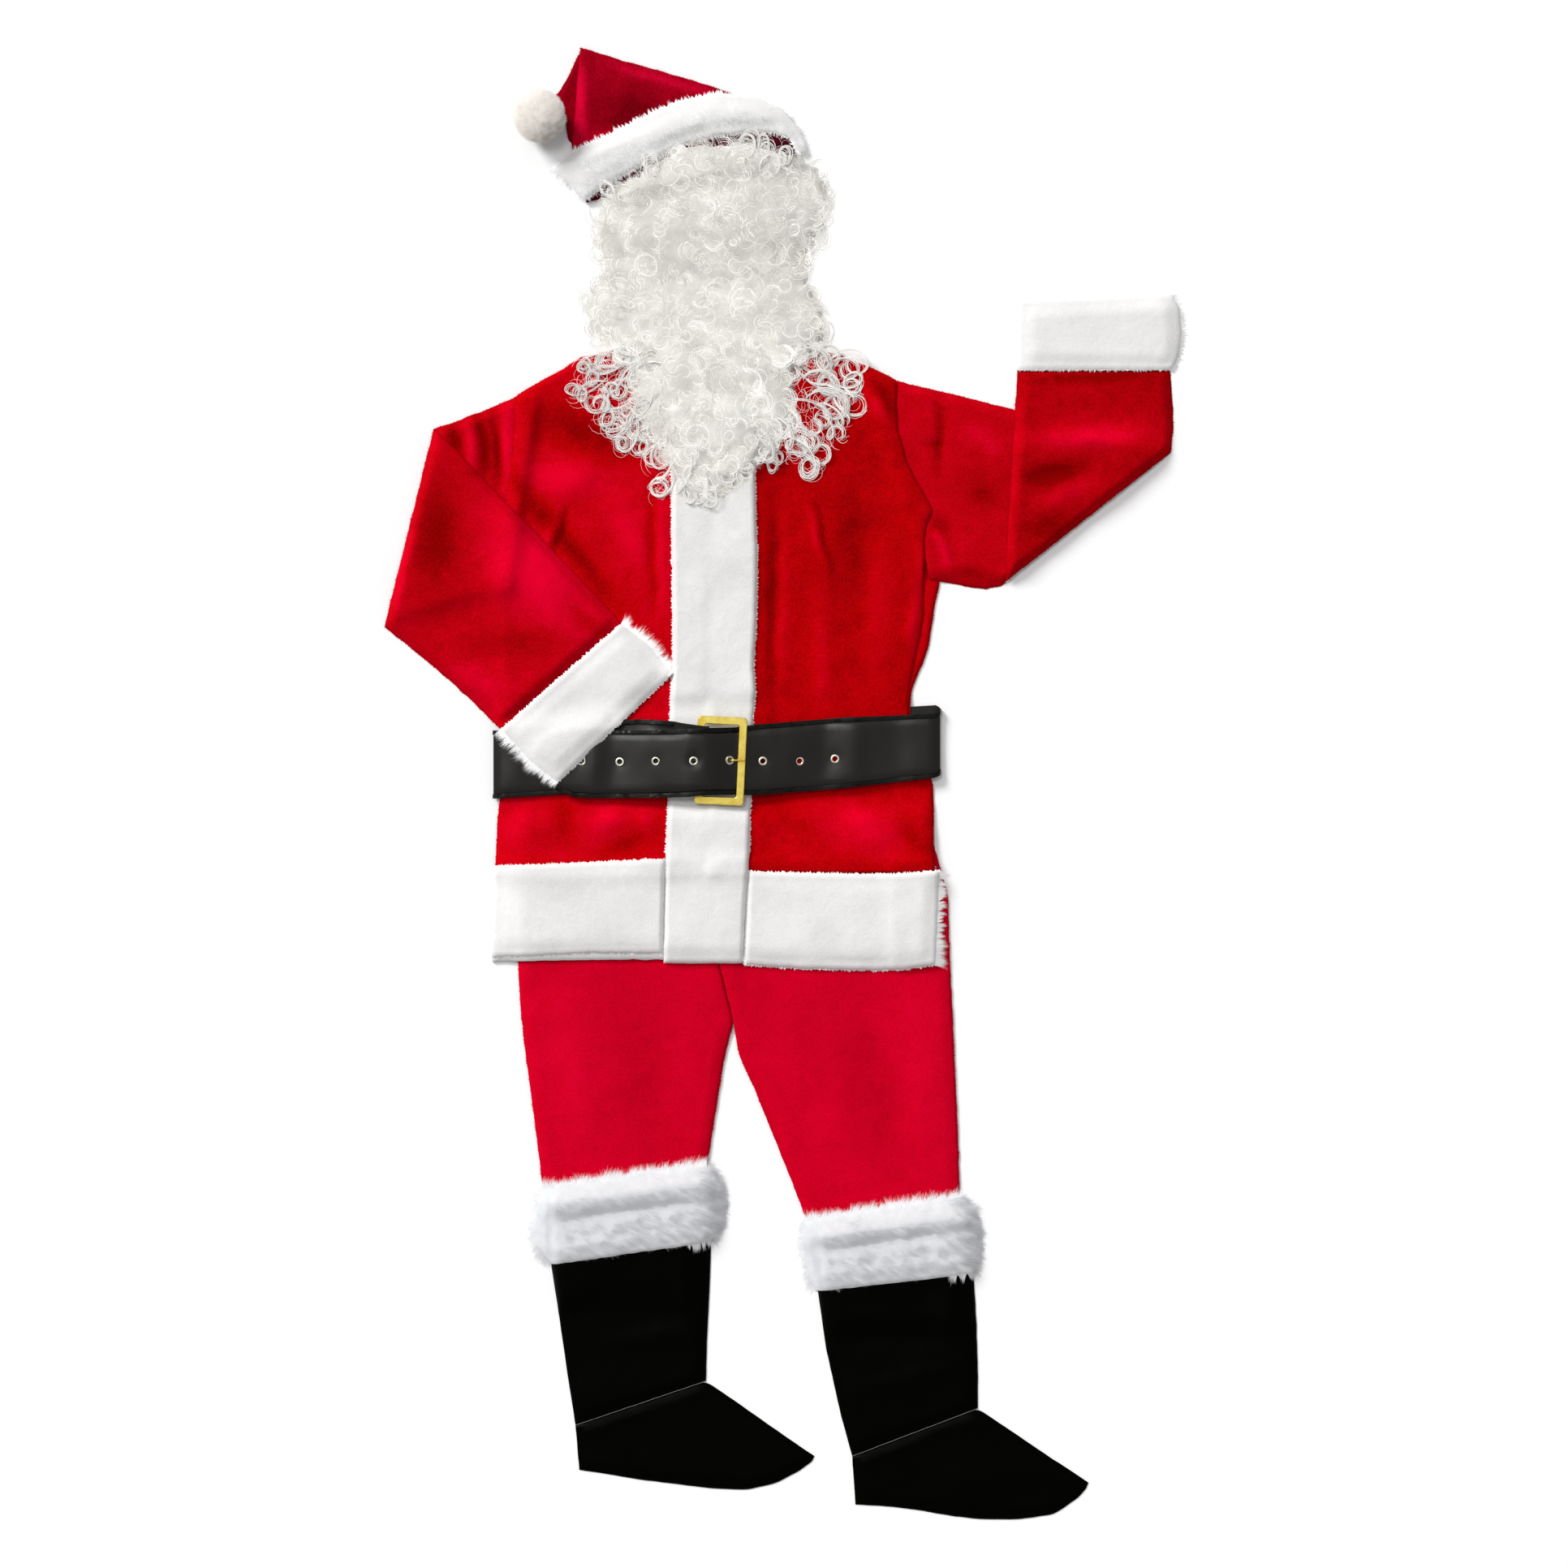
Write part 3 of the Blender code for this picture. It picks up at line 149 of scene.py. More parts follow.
# How cloth or fibre of a kind is made: thick in metres, the rest in millimetres
Look = namedtuple("Look", "material slot width thick loft uneven", defaults=(0, 0, 0, 0))
Looks = namedtuple(
    "Looks", "red legs arms hat lining plush nap fuzz down cream fur hair strand wisp boot thread"
)

# What differs between the sides: the tone of each front and forearm, the borders of each cuff that have
# long hair and its length, and each hem band's free and joined ends, its roundness and its hair's length
FRONT_TONE = {"l": 0.08, "r": -0.1}
FOREARM_TONE = {"l": 0.04, "r": -0.14}
CUFF_FRINGE = {"l": (("left", "right"), 20), "r": (("left",), 13)}
HEM_ENDS = {
    "l": ("start", "end", Rolls(5, -0.15, 4, 3), 5),
    "r": ("end", "start", Rolls(-0.15, 4, 4, 3), 20),
}


def each(kind, *rows):
    """Named rows from plain ones."""
    return [kind(*row) for row in rows]


# ---------------------------------------------------------------- outlines, in the order laid

HAT_TIP = each(
    Span,
    (-275, 859, -272, 996), (-293, 873, -281, 987), (-296, 898, -292, 961), (-300, 915, -304, 941),
    (-307, 908, -322, 925),
)

HAT_CROWN_BACK = each(
    Span,
    (-268, 788, -275, 994), (-221, 801, -224, 979), (-166, 815, -174, 965), (-111, 826, -122, 949),
    (-56, 835, -78, 934), (-12, 839, -40, 924), (19, 843, -1, 906),
)

HAT_CROWN_FRONT = each(
    Span,
    (-290, 836, -276, 999), (-238, 854, -224, 983), (-183, 873, -174, 969), (-128, 891, -122, 954),
    (-84, 902, -84, 942), (-18, 898, -23, 914),
)

HAT_BAND_BACK = each(
    Span,
    (-268, 789, -308, 828), (-221, 795, -260, 846), (-166, 809, -194, 865), (-111, 820, -128, 880),
    (-56, 828, -67, 887), (-7, 834, -12, 889), (25, 843, 22, 865),
)

HAT_BAND_FRONT = each(
    Span,
    (-271, 791, -317, 833), (-243, 810, -290, 854), (-210, 829, -243, 878), (-177, 846, -194, 902),
    (-139, 865, -144, 924), (-95, 877, -95, 936), (-45, 883, -40, 933), (-12, 883, -1, 916),
    (10, 873, 24, 887), (21, 854, 35, 854),
)

HAIR_MASS = each(
    Lock,
    (864, -138, -40, 9), (848, -150, 10, 14), (839, -168, 39, 17), (829, -186, 46, 20),
    (812, -214, 54, 24), (791, -244, 60, 28), (771, -252, 57, 31), (749, -254, 49, 33),
    (733, -249, 37, 31), (711, -243, 34, 29), (694, -246, 32, 27), (681, -252, 30, 26),
    (667, -262, 38, 28), (650, -268, 47, 30), (625, -264, 55, 31), (600, -248, 50, 31),
    (583, -224, 34, 31), (565, -208, 14, 31), (540, -204, 8, 30), (500, -196, 12, 28), (470, -178, 0, 27),
    (440, -158, -30, 24), (420, -146, -52, 20), (400, -128, -72, 14), (389, -114, -86, 10),
)

JACKET_BACK = each(
    Row,
    (592, -216, 37), (578, -278, 88), (559, -305, 119.4), (532, -347, 128.3), (275, -385.7, 212.8),
    (254, -388.8, 206), (230, -388, 203), (180, -386, 195), (127, -384, 172), (88, -384, 171),
    (76, -382, 173), (45, -382, 185), (0, -382, 202), (-22, -383, 202.7), (-28, -387, 203),
    (-60, -389, 203), (-97, -390.5, 202.6), (-108, -391, 202.5), (-120, -392, 204), (-124, -392, 204.5),
)

JACKET_FACING = each(
    Row,
    (-108, 150, 202.5), (-160, 150, 210), (-200, 150, 216), (-243, 150, 221),
)

JACKET_FRONT = {
    "l": each(
        Row,
        (579, -275, -169), (562, -301, -150), (546, -332, -133), (524, -367, -114), (507, -365, -102),
        (491, -363, -97), (447, -368, -97), (389, -375, -97), (359, -381, -97), (256, -389, -97),
        (127, -384, -97), (88, -384, -97), (76, -382, -97), (45, -382, -97), (0, -382, -97),
        (-22, -383, -97), (-28, -387, -97), (-60, -389, -97), (-97, -390.5, -97), (-108, -391, -97),
        (-120, -392, -97),
    ),
    "r": each(
        Row,
        (577, -59, 88), (562, -75, 125), (547, -90, 153), (513, -96, 152), (480, -96, 154),
        (429, -96, 169), (400, -96, 186), (371, -96, 203), (358, -96, 195), (341, -96, 191),
        (223, -96, 189), (127, -96, 169), (88, -96, 169), (45, -96, 185), (0, -96, 202), (-25, -96, 202),
        (-60, -96, 202), (-97, -96, 202.6), (-120, -96, 204),
    ),
}

PLACKET = each(
    Row,
    (507, -152, -40), (402, -153, -39), (314, -152, -36), (226, -151, -37), (160, -151, -41),
    (130, -153, -38), (88, -155, -42), (0, -157, -44), (-33, -157, -45), (-60, -158, -46),
    (-92, -160, -47), (-112, -160, -48), (-165, -162, -52), (-243, -163, -55),
)

HEM_BAND = {
    "l": each(
        Span,
        (-398, -235, -393, -111), (-337, -233, -337, -109), (-260, -229, -260, -106),
        (-163.6, -230, -161, -101),
    ),
    "r": each(
        Span,
        (-54, -245, -47.5, -118), (15, -250, 15, -120), (103, -253, 103, -122), (158, -252, 158, -121),
        (206, -245, 211, -117),
    ),
}

HEM_BAND_BACK = each(
    Span,
    (-396, -241, -391, -111), (-260, -238, -260, -108), (-100, -238, -100, -110), (60, -242, 60, -112),
    (204, -240, 204, -110),
)

SLEEVE_UNDER = {
    "l": each(
        Span,
        (-332, 534, -376, 256), (-347.6, 532.4, -389.4, 254.1), (-402, 509, -436, 246),
        (-441, 494, -485, 231),
    ),
    "r": each(
        Span,
        (104, 554, 198, 276), (120, 561, 213.4, 275), (164, 544, 246, 268), (246, 525, 274, 265),
        (323, 505, 293, 268), (417, 477, 298, 271),
    ),
}

SLEEVE_FOLD = {"l": Span(-475, 482, -542, 213), "r": Span(525, 450, 301, 275)}

SLEEVE_OVER = {
    "l": each(
        Span,
        (-436, 444, -513, 190), (-380, 385, -474, 158), (-301, 304, -428, 117), (-220, 218, -384, 74),
    ),
    "r": each(
        Span,
        (528, 480, 301, 304), (528, 507, 306, 381), (526, 535, 311, 469), (524, 561, 317, 561),
    ),
}

CUFF = {
    "l": each(
        Span,
        (-219.6, 217.5, -383.6, 73.5), (-183, 190, -348, 34), (-151, 150, -307, 1),
    ),
    "r": each(
        Span,
        (526, 561.5, 315, 561.5), (536, 579, 316, 583), (541, 609, 317, 617), (538, 645, 317, 645),
        (528, 665, 319, 655),
    ),
}

TROUSER = {
    "l": each(
        Row,
        (-38, -352, -96.2), (-150, -360, -91.8), (-243, -361, -88.2), (-322, -356, -68.7),
        (-371, -350, -81), (-438, -341, -92), (-515, -331, -104), (-565, -325, -112), (-620, -315, -121),
        (-700, -302, -134),
    ),
    "r": each(
        Row,
        (-38, -95.8, 190), (-90, -93.8, 205), (-149, -91.4, 222), (-243, -87.8, 225), (-322, -68.3, 229),
        (-366, -62, 231), (-416, -39, 233), (-483, -12, 236), (-550, 15, 238), (-587, 29, 238),
        (-640, 46, 240), (-735, 66, 238),
    ),
}

BOOT_SHAFT = {
    "l": each(
        Span,
        (-323, -565, -97, -532), (-316, -653, -99, -620), (-307, -711, -101, -681),
        (-293, -807, -104.5, -752), (-283, -870, -106, -810),
    ),
    "r": each(
        Span,
        (37, -612, 249, -584), (46, -689, 257, -662), (57, -766, 261, -730), (77, -856, 263, -796),
        (92.4, -912, 263, -847),
    ),
}

BOOT_FOOT = {
    "l": each(
        Span,
        (-278, -931, -283, -870.5), (-243, -936, -235, -854.2), (-197, -944, -190, -839),
        (-147, -950, -150, -825.4), (-99, -956, -106, -810.5), (-51, -958, -67, -837),
        (-11, -949, -23, -868), (21, -932, 13, -893), (38, -919, 41, -912),
    ),
    "r": each(
        Span,
        (97, -978, 92.4, -912.5), (136, -980, 140, -894.4), (180, -985, 185, -877.2),
        (224, -993, 226, -861.6), (268, -998, 263, -847.5), (319, -998, 307, -877),
        (367, -991, 354, -909), (400, -968, 391, -933), (410, -956, 413, -948),
    ),
}

BOOT_FUR = {
    "l": each(
        Span,
        (-336, -549, -97, -515), (-342, -574, -82, -536), (-348, -603, -76, -565),
        (-342, -631, -81, -596), (-323, -652, -91, -619),
    ),
    "r": each(
        Span,
        (20, -592, 247, -558), (19, -615, 262, -576), (20, -640, 270, -609), (27, -667, 268, -640),
        (36, -688, 265, -662),
    ),
}

# ---------------------------------------------------------------- folds and tones

CROWN_FOLDS = each(
    Crease,
    (-292, 980, -296, 854, 5, -3), (-279, 986, -284, 854, 8, 2.4), (-227, 942, -150, 920, 24, 3),
    (-249, 898, -183, 876, 18, -2.6), (-128, 931, -95, 898, 14, -1.8),
)

# Painted highlights along the crown's top edge, its folded left edge and its lower edge by the band, and
# painted shade across its middle
CROWN_TONES = each(
    Crease,
    (-250, 980, -60, 922, 7, 0.25), (-274, 975, -270, 850, 8, 0.3), (-230, 935, -160, 915, 28, -0.5),
    (-262, 866, -110, 915, 12, 0.7),
)

JACKET_FOLDS = {
    "l": each(
        Crease,
        (-385, 440, -222, 236, 13, -4.2), (-337, 502, -194, 447, 28, -4), (-359, 414, -249, 414, 24, 4),
        (-179, 414, -177, 227, 7, -2.6), (-165, 403, -164, 227, 7, 2.2), (-296, 375, -312, 312, 5, -3.6),
        (-306, 370, -323, 315, 7, 2.6), (-227, 381, -194, 293, 20, 3), (-304, -21, -287, -81, 14, -2.6),
        (-260, -65, -221, -32, 16, 3.2), (-249, -103, -183, -70, 16, -3), (-359, -26, -370, -92, 18, 2),
        (-194, -21, -183, -70, 10, 2),
    ),
    "r": each(
        Crease,
        (112, 527, 151, 480, 10, 3), (125, 546, 153, 485, 8, -3.2), (-14, 403, -18, 95, 8, -2.8),
        (0, 359, -3, 117, 10, 1.8), (41, 381, 67, 282, 5, -3.6), (32, 375, 59, 293, 7, 2.8),
        (51, 271, 51, 95, 14, 2.2), (92, 403, 103, 227, 18, -1.8), (200, 372, 191, 348, 9, 2.4),
        (189, 348, 169, 128, 8, 2.8), (131, 315, 125, 117, 22, 1.8), (-7, -37, 48, -81, 20, -2.2),
        (81, -26, 147, -92, 20, 2.4), (158, -37, 191, -103, 14, -2.4),
    ),
}

JACKET_TONES = each(
    Crease,
    (-390, -62, -170, -62, 40, 0.02), (-20, -62, 205, -62, 40, 0.26),
)

BACK_FOLDS = each(
    Crease,
    (-320, 350, -330, 60, 26, 2.2), (-150, 420, -140, 80, 30, 1.8), (40, 380, 60, 40, 24, 2.4),
    (150, 330, 140, -60, 28, 1.6), (-260, 0, -80, -60, 30, 1.8),
)

HEM_FOLDS = {
    "l": each(
        Crease,
        (-400, -225, -165, -221, 3, -2.4),
    ),
    "r": each(
        Crease,
        (-52, -238, 215, -243, 3, -2.4),
    ),
}

ARM_FOLDS = {
    "l": each(
        Crease,
        (-455, 488, -433, 444, 8, -4.5), (-414, 502, -403, 414, 8, -5.1), (-394, 504, -384, 403, 7, -4.5),
        (-372, 518, -374, 392, 9, 3.2), (-430, 491, -419, 425, 8, 3.5),
    ),
    "r": each(
        Crease,
        (211, 524, 211, 414, 7, -3.6), (191, 460, 213, 460, 6, -2.4), (202, 359, 224, 337, 10, -3),
        (202, 348, 227, 287, 7, 2.8), (227, 287, 290, 279, 8, -2.8), (252, 480, 296, 447, 16, 2.4),
        (246, 403, 296, 381, 18, -2.4),
    ),
}

FOREARM_FOLDS = {
    "l": each(
        Crease,
        (-463, 414, -474, 249, 34, -4.6), (-381, 348, -293, 227, 44, 4.6), (-414, 183, -293, 194, 24, -3),
        (-507, 381, -529, 249, 14, 2.4), (-447, 161, -381, 117, 18, 2.2),
        (-293, 243, -238, 194, 10, -2.2),
    ),
    "r": each(
        Crease,
        (315, 502, 298, 293, 9, 2.8), (326, 548, 519, 554, 9, -3.4), (318, 463, 510, 474, 17, 4.4),
        (326, 411, 400, 427, 13, -4.4), (345, 375, 417, 408, 14, 2.8), (326, 337, 389, 359, 16, -2.6),
    ),
}

TROUSER_FOLDS = {
    "l": each(
        Crease,
        (-80, -334, -108, -510, 6, -1.6), (-69, -332, -95, -510, 6, 1.4),
        (-293, -301, -271, -499, 30, 1.6), (-194, -279, -183, -499, 34, -1.6),
    ),
    "r": each(
        Crease,
        (-56, -356, 21, -587, 6, -1.6), (-67, -356, 7, -587, 6, 1.4), (103, -279, 136, -521, 34, -1.6),
        (180, -279, 202, -521, 28, 1.6),
    ),
}

BOOT_FOLDS = {
    "l": each(
        Crease,
        (-290, -640, -120, -615, 16, 2.2), (-300, -700, -150, -690, 20, -2.4),
        (-250, -760, -120, -740, 14, 1.8), (-140, -640, -130, -780, 18, 2.0),
    ),
    "r": each(
        Crease,
        (70, -690, 230, -665, 16, 2.2), (80, -750, 220, -735, 20, -2.4), (100, -820, 240, -790, 14, 1.8),
        (225, -680, 235, -820, 18, 2.0),
    ),
}

FUR_FOLDS = {
    "l": each(
        Crease,
        (-330, -590, -90, -558, 9, -4.5), (-318, -560, -318, -640, 5, -3.0),
    ),
    "r": each(
        Crease,
        (25, -632, 262, -598, 9, -4.5), (42, -600, 48, -680, 5, -3.0),
    ),
}

# Painted shade along the top roll of each boot cover's fur, to hold down the light that falls on it
FUR_TONES = {
    "l": each(
        Crease,
        (-330, -580, -90, -540, 12, -0.12),
    ),
    "r": each(
        Crease,
        (25, -620, 262, -584, 12, -0.12),
    ),
}

BELT_FOLDS = each(
    Crease,
    (-262, -20, -254, 90, 16, 2.2), (-215, -10, -218, 95, 22, -1.6), (-170, -20, -165, 90, 20, 1.4),
    (10, -15, 14, 100, 18, 2.2), (52, -15, 56, 100, 16, -1.8), (92, -15, 96, 105, 18, 2.2),
    (150, -15, 150, 105, 24, -1.6), (-360, -20, -366, 90, 18, 1.6),
)

# Loose curls that lie over the red, beyond the mass of the beard, and a few at the edge of the wig
LOOSE_CURLS = each(
    Curl,
    (-271, 571, 11), (-243, 573, 13), (-218, 579, 12), (-262, 551, 11), (-278, 529, 12), (-235, 535, 14),
    (-243, 496, 15), (-230, 480, 12), (-199, 480, 14), (-169, 441, 12), (-166, 403, 12), (-205, 505, 14),
    (-214, 555, 14), (-186, 455, 13), (-250, 515, 12), (-222, 463, 11), (65, 579, 20), (87, 562, 16),
    (60, 541, 18), (95, 515, 15), (70, 513, 16), (73, 474, 12), (48, 449, 13), (37, 430, 14),
    (-12, 433, 12), (-23, 447, 12), (90, 540, 14), (52, 495, 15), (20, 455, 13), (-110, 383, 9),
    (-128, 392, 10), (40, 575, 16), (-22, 860, 12), (-48, 868, 11), (4, 854, 10), (-182, 842, 9),
    (-240, 806, 9),
)


# ---------------------------------------------------------------- sections and relief


def ends(table):
    """The two ends of each section, in metres."""
    if hasattr(table[0], "ax"):
        pairs = [((s.ax, s.ay), (s.bx, s.by)) for s in table]
    else:
        pairs = [((s.left, s.y), (s.right, s.y)) for s in table]
    return np.array(pairs).swapaxes(0, 1) * MM


def drawn_in(spans, reach):
    """Spans made shorter at both ends by a reach in millimetres."""
    found = []
    for s in spans:
        share = reach / math.hypot(s.bx - s.ax, s.by - s.ay)
        x, y = (s.bx - s.ax) * share, (s.by - s.ay) * share
        found.append(Span(s.ax + x, s.ay + y, s.bx - x, s.by - y))
    return found


def evenly(first, last, spacing, smooth):
    """Sections a spacing apart, with the corners of both outlines eased."""
    middle = (first + last) / 2
    gaps = [np.linalg.norm(np.diff(line, axis=0), axis=1) for line in (first, last, middle)]
    along = np.concatenate([[0], np.cumsum(np.max(gaps, axis=0))])
    count = max(3, int(along[-1] / spacing) + 1)
    places = np.linspace(0, along[-1], count)
    lines = []
    for line in (first, last):
        even = np.column_stack([np.interp(places, along, line[:, k]) for k in (0, 1)])
        for _ in range(smooth):
            even[1:-1] = (even[:-2] + 2 * even[1:-1] + even[2:]) / 4
        lines.append(even)
    return lines


def waves(x, y, length, seed, count=14):
    """Smooth unevenness with bumps of about the given length, from -1 to 1."""
    rng = np.random.default_rng(seed)
    total = np.zeros_like(x)
    for _ in range(count):
        angle = rng.uniform(0, 2 * math.pi)
        pitch = 2 * math.pi / (length * rng.uniform(0.7, 1.5))
        phase = rng.uniform(0, 2 * math.pi)
        total += np.sin((x * math.cos(angle) + y * math.sin(angle)) * pitch + phase)
    return total / math.sqrt(count * 2)


def seed_of(name):
    """The same seed each time for a piece's name."""
    return sum(map(ord, name))


def unit(vector):
    """Vectors made one long."""
    return vector / (np.linalg.norm(vector, axis=-1, keepdims=True) + 1e-12)


def smoothstep(value):
    """A soft step from 0 to 1."""
    value = np.clip(value, 0, 1)
    return value * value * (3 - 2 * value)


def relief(grid, creases, seed, sway=2.5):
    """The height of every fold at every point, each swaying and fading out towards its ends."""
    x, y = grid[..., 0], grid[..., 1]
    total = np.zeros_like(x)
    shift = waves(x, y, 60 * MM, seed + 50) * sway * MM
    for c in creases:
        a, b = np.array([c.ax, c.ay]) * MM, np.array([c.bx, c.by]) * MM
        line = b - a
        share = ((x - a[0]) * line[0] + (y - a[1]) * line[1]) / (line @ line)
        near = np.clip(share, 0, 1)
        across = np.hypot(x - a[0] - line[0] * near + shift, y - a[1] - line[1] * near)
        fade = 0.3 + 0.7 * np.sin(np.pi * near)
        total += c.height * MM * fade * np.exp(-((across / (c.width * MM)) ** 2))
    return total


# ---------------------------------------------------------------- heights on the table


def blurred(field):
    """A field with each cell a mean of its neighbours."""
    for axis in (0, 1):
        field = (np.roll(field, 1, axis) + field + np.roll(field, -1, axis)) / 3
    return field


def widened(field):
    """A field with each cell as high as its highest neighbour."""
    for axis in (0, 1):
        field = np.maximum(field, np.maximum(np.roll(field, 1, axis), np.roll(field, -1, axis)))
    return field


class Heights:
    """The top of everything laid so far."""

    def __init__(self):
        """An empty table."""
        self.top = np.zeros([int(2 * half / CELL) + 1 for half in TABLE_HALF])

    def add_points(self, points):
        """Raise the cells that these points lie in."""
        cells = np.round((points[:, :2] + TABLE_HALF) / CELL).astype(int)
        np.maximum.at(self.top, (cells[:, 0], cells[:, 1]), points[:, 2])

    def add_skin(self, skin):
        """Add a grid of points and what lies between them."""
        steps = int(np.linalg.norm(skin[1:, 1:] - skin[:-1, :-1], axis=2).max() / CELL * 1.2) + 1
        for s in np.arange(steps + 1) / steps:
            for t in np.arange(steps + 1) / steps:
                start = skin[:-1, :-1] * (1 - t) + skin[:-1, 1:] * t
                end = skin[1:, :-1] * (1 - t) + skin[1:, 1:] * t
                self.add_points((start * (1 - s) + end * s).reshape(-1, 3))

    def add_node(self, name, below=1.0):
        """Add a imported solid, or only what lies below a height."""
        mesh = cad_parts[name].data
        mesh.calc_loop_triangles()
        corners = np.array([[mesh.vertices[v].co for v in t.vertices] for t in mesh.loop_triangles])
        longest = np.linalg.norm(corners - np.roll(corners, 1, axis=1), axis=2).max()
        steps = min(int(longest / CELL) + 2, 60)
        for i in range(steps + 1):
            for j in range(steps + 1 - i):
                a, b = i / steps, j / steps
                points = corners[:, 0] * (1 - a - b) + corners[:, 1] * a + corners[:, 2] * b
                self.add_points(points[points[:, 2] < below])

    def draped(self, passes):
        """The heights that cloth takes over the table: never lower than what is there, and smooth."""
        field = widened(self.top)
        low = field.copy()
        for _ in range(passes):
            field = np.maximum(low, blurred(field))
        return field

    def under(self, grid, passes):
        """Draped heights at the points of a grid."""
        return self.read(grid, self.draped(passes))

    def read(self, grid, field=None):
        """A field's values between its cells; without a field, those of the table's top."""
        field = self.top if field is None else field
        places = (grid + TABLE_HALF) / CELL
        whole = np.floor(places).astype(int)
        x, y = (places - whole)[..., 0], (places - whole)[..., 1]
        i, j = whole[..., 0], whole[..., 1]
        low = field[i, j] * (1 - x) + field[i + 1, j] * x
        high = field[i, j + 1] * (1 - x) + field[i + 1, j + 1] * x
        return low * (1 - y) + high * y


# ---------------------------------------------------------------- surfaces


class Surface:
    """A grid of places, with the heights of its underside and of its top."""

    def __init__(self, table, spacing, smooth=2, wobble=0.5, seed=0):
        """Even sections of a table, with borders that wobble by some millimetres."""
        first, last = evenly(*ends(table), spacing, smooth)
        widths = np.linalg.norm(last - first, axis=1)
        across = max(3, int(widths.max() / spacing))
        shares = np.linspace(0, 1, across + 1)
        self.grid = first[:, None] + (last - first)[:, None] * shares[None, :, None]
        rows = np.linalg.norm(np.diff(self.grid, axis=0), axis=2)
        up = np.concatenate([np.zeros((1, across + 1)), np.cumsum(rows, axis=0)])
        beside = widths[:, None]
        self.reach = np.stack([up, up[-1:] - up, beside * shares, beside * (1 - shares)])
        self.shares = shares
        edge = np.exp(-self.reach.min(axis=0) / (6 * MM))
        x, y = self.grid[..., 0], self.grid[..., 1]
        sway = [waves(x, y, 22 * MM, seed + 7), waves(x, y, 22 * MM, seed + 8)]
        self.grid = self.grid + np.stack(sway, axis=2) * (edge * wobble * MM)[..., None]

    def shape(self, ground, thick, loft, rolls, folds, press=None, low=None, reach=EASE):
        """Set both skins: a cloth's thickness, lifted by its loft and folds, round at its rolled edges.

        With low, the underside lies at that height instead, as on a tube with something in it.
        """
        ease = np.ones_like(ground)
        for k, radius in enumerate(rolls):
            if radius >= 0:
                ease = ease * smoothstep(self.reach[k] / reach)
        if press is not None:
            ease = ease * press
        height = thick + np.maximum(ease * (loft * MM + folds), -0.5 * thick)
        base = ground + GAP
        below = np.zeros_like(ground) if low is None else base - low
        for k, radius in enumerate(rolls):
            if radius:
                inside = 1 - np.clip(self.reach[k] / (abs(radius) * MM), 0, 1)
                height = height * np.sqrt(1 - inside**2)
                if k > 1:
                    below = below * np.sqrt(1 - inside**2)
        if low is not None:
            height = height + below
            base = np.full_like(ground, low)
        height = np.maximum(height, THINNEST)
        self.low = np.dstack([self.grid, base])
        self.over = np.dstack([self.grid, base + height])

    def normals(self):
        """The direction out of the top at each point."""
        along = np.gradient(self.over, axis=0)
        across = np.gradient(self.over, axis=1)
        normal = np.cross(across, along)
        normal *= np.sign(normal[..., 2:3] + 1e-12)
        return normal / np.linalg.norm(normal, axis=2)[..., None]

    def area(self):
        """The level area of each cell."""
        a = self.grid[1:, 1:] - self.grid[:-1, :-1]
        b = self.grid[:-1, 1:] - self.grid[1:, :-1]
        return np.abs(a[..., 0] * b[..., 1] - a[..., 1] * b[..., 0]) / 2

    def scatter(self, count, rng):
        """Even random points over the top: each one's place, normal, reach to the last border and tone."""
        weight = self.area().ravel()
        pick = rng.choice(len(weight), count, p=weight / weight.sum())
        i, j = np.unravel_index(pick, self.area().shape)
        s, t = rng.random(count)[:, None], rng.random(count)[:, None]
        found = []
        for field in (self.over, self.normals(), self.reach[1][..., None], self.tone[..., None]):
            near = field[i, j] * (1 - t) + field[i, j + 1] * t
            far = field[i + 1, j] * (1 - t) + field[i + 1, j + 1] * t
            found.append(near * (1 - s) + far * s)
        return found[0], unit(found[1]), found[2][:, 0], found[3][:, 0]

    def side(self, name):
        """The points along one border, with the level direction out of it."""
        lines = self.over.swapaxes(0, 1) if name in ("left", "right") else self.over
        points, _, inner = lines[-1:-4:-1] if name in ("end", "right") else lines[:3]
        out = (points - inner) * np.array([1, 1, 0])
        along = np.gradient(points, axis=0) * np.array([1, 1, 0])
        along /= np.linalg.norm(along, axis=1)[:, None]
        out -= along * (out * along).sum(axis=1)[:, None]
        return points, out / np.linalg.norm(out, axis=1)[:, None]


def placed(name, mesh):
    """A new object for a mesh, fixed to the part."""
    made = bpy.data.objects.new(name, mesh)
    bpy.context.scene.collection.objects.link(made)
    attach(made, "root")
    return made


def mesh_object(name, points, faces, look):
    """A smooth mesh object from arrays of points and of faces, all with the same number of corners."""
    used, places = np.unique(faces, return_inverse=True)
    corners = places.reshape(faces.shape)
    points = points[used]
    mesh = bpy.data.meshes.new(name)
    mesh.vertices.add(len(points))
    mesh.vertices.foreach_set("co", points.astype(np.float32).ravel())
    mesh.loops.add(corners.size)
    mesh.loops.foreach_set("vertex_index", corners.astype(np.int32).ravel())
    mesh.polygons.add(len(corners))
    size = corners.shape[1]
    mesh.polygons.foreach_set("loop_start", np.arange(len(corners), dtype=np.int32) * size)
    mesh.update(calc_edges=True)
    mesh.shade_smooth()
    mesh.materials.append(look.material)
    return placed(name, mesh)


def tint(made, tone):
    """Give a piece its tone: a value at each vertex, the middle one where none is given."""
    values = made.data.attributes.new("tone", "FLOAT", "POINT")
    spread = np.full(len(made.data.vertices), 0.5)
    given = tone.ravel()
    spread[: len(given)] = given
    values.data.foreach_set("value", spread.astype(np.float32))


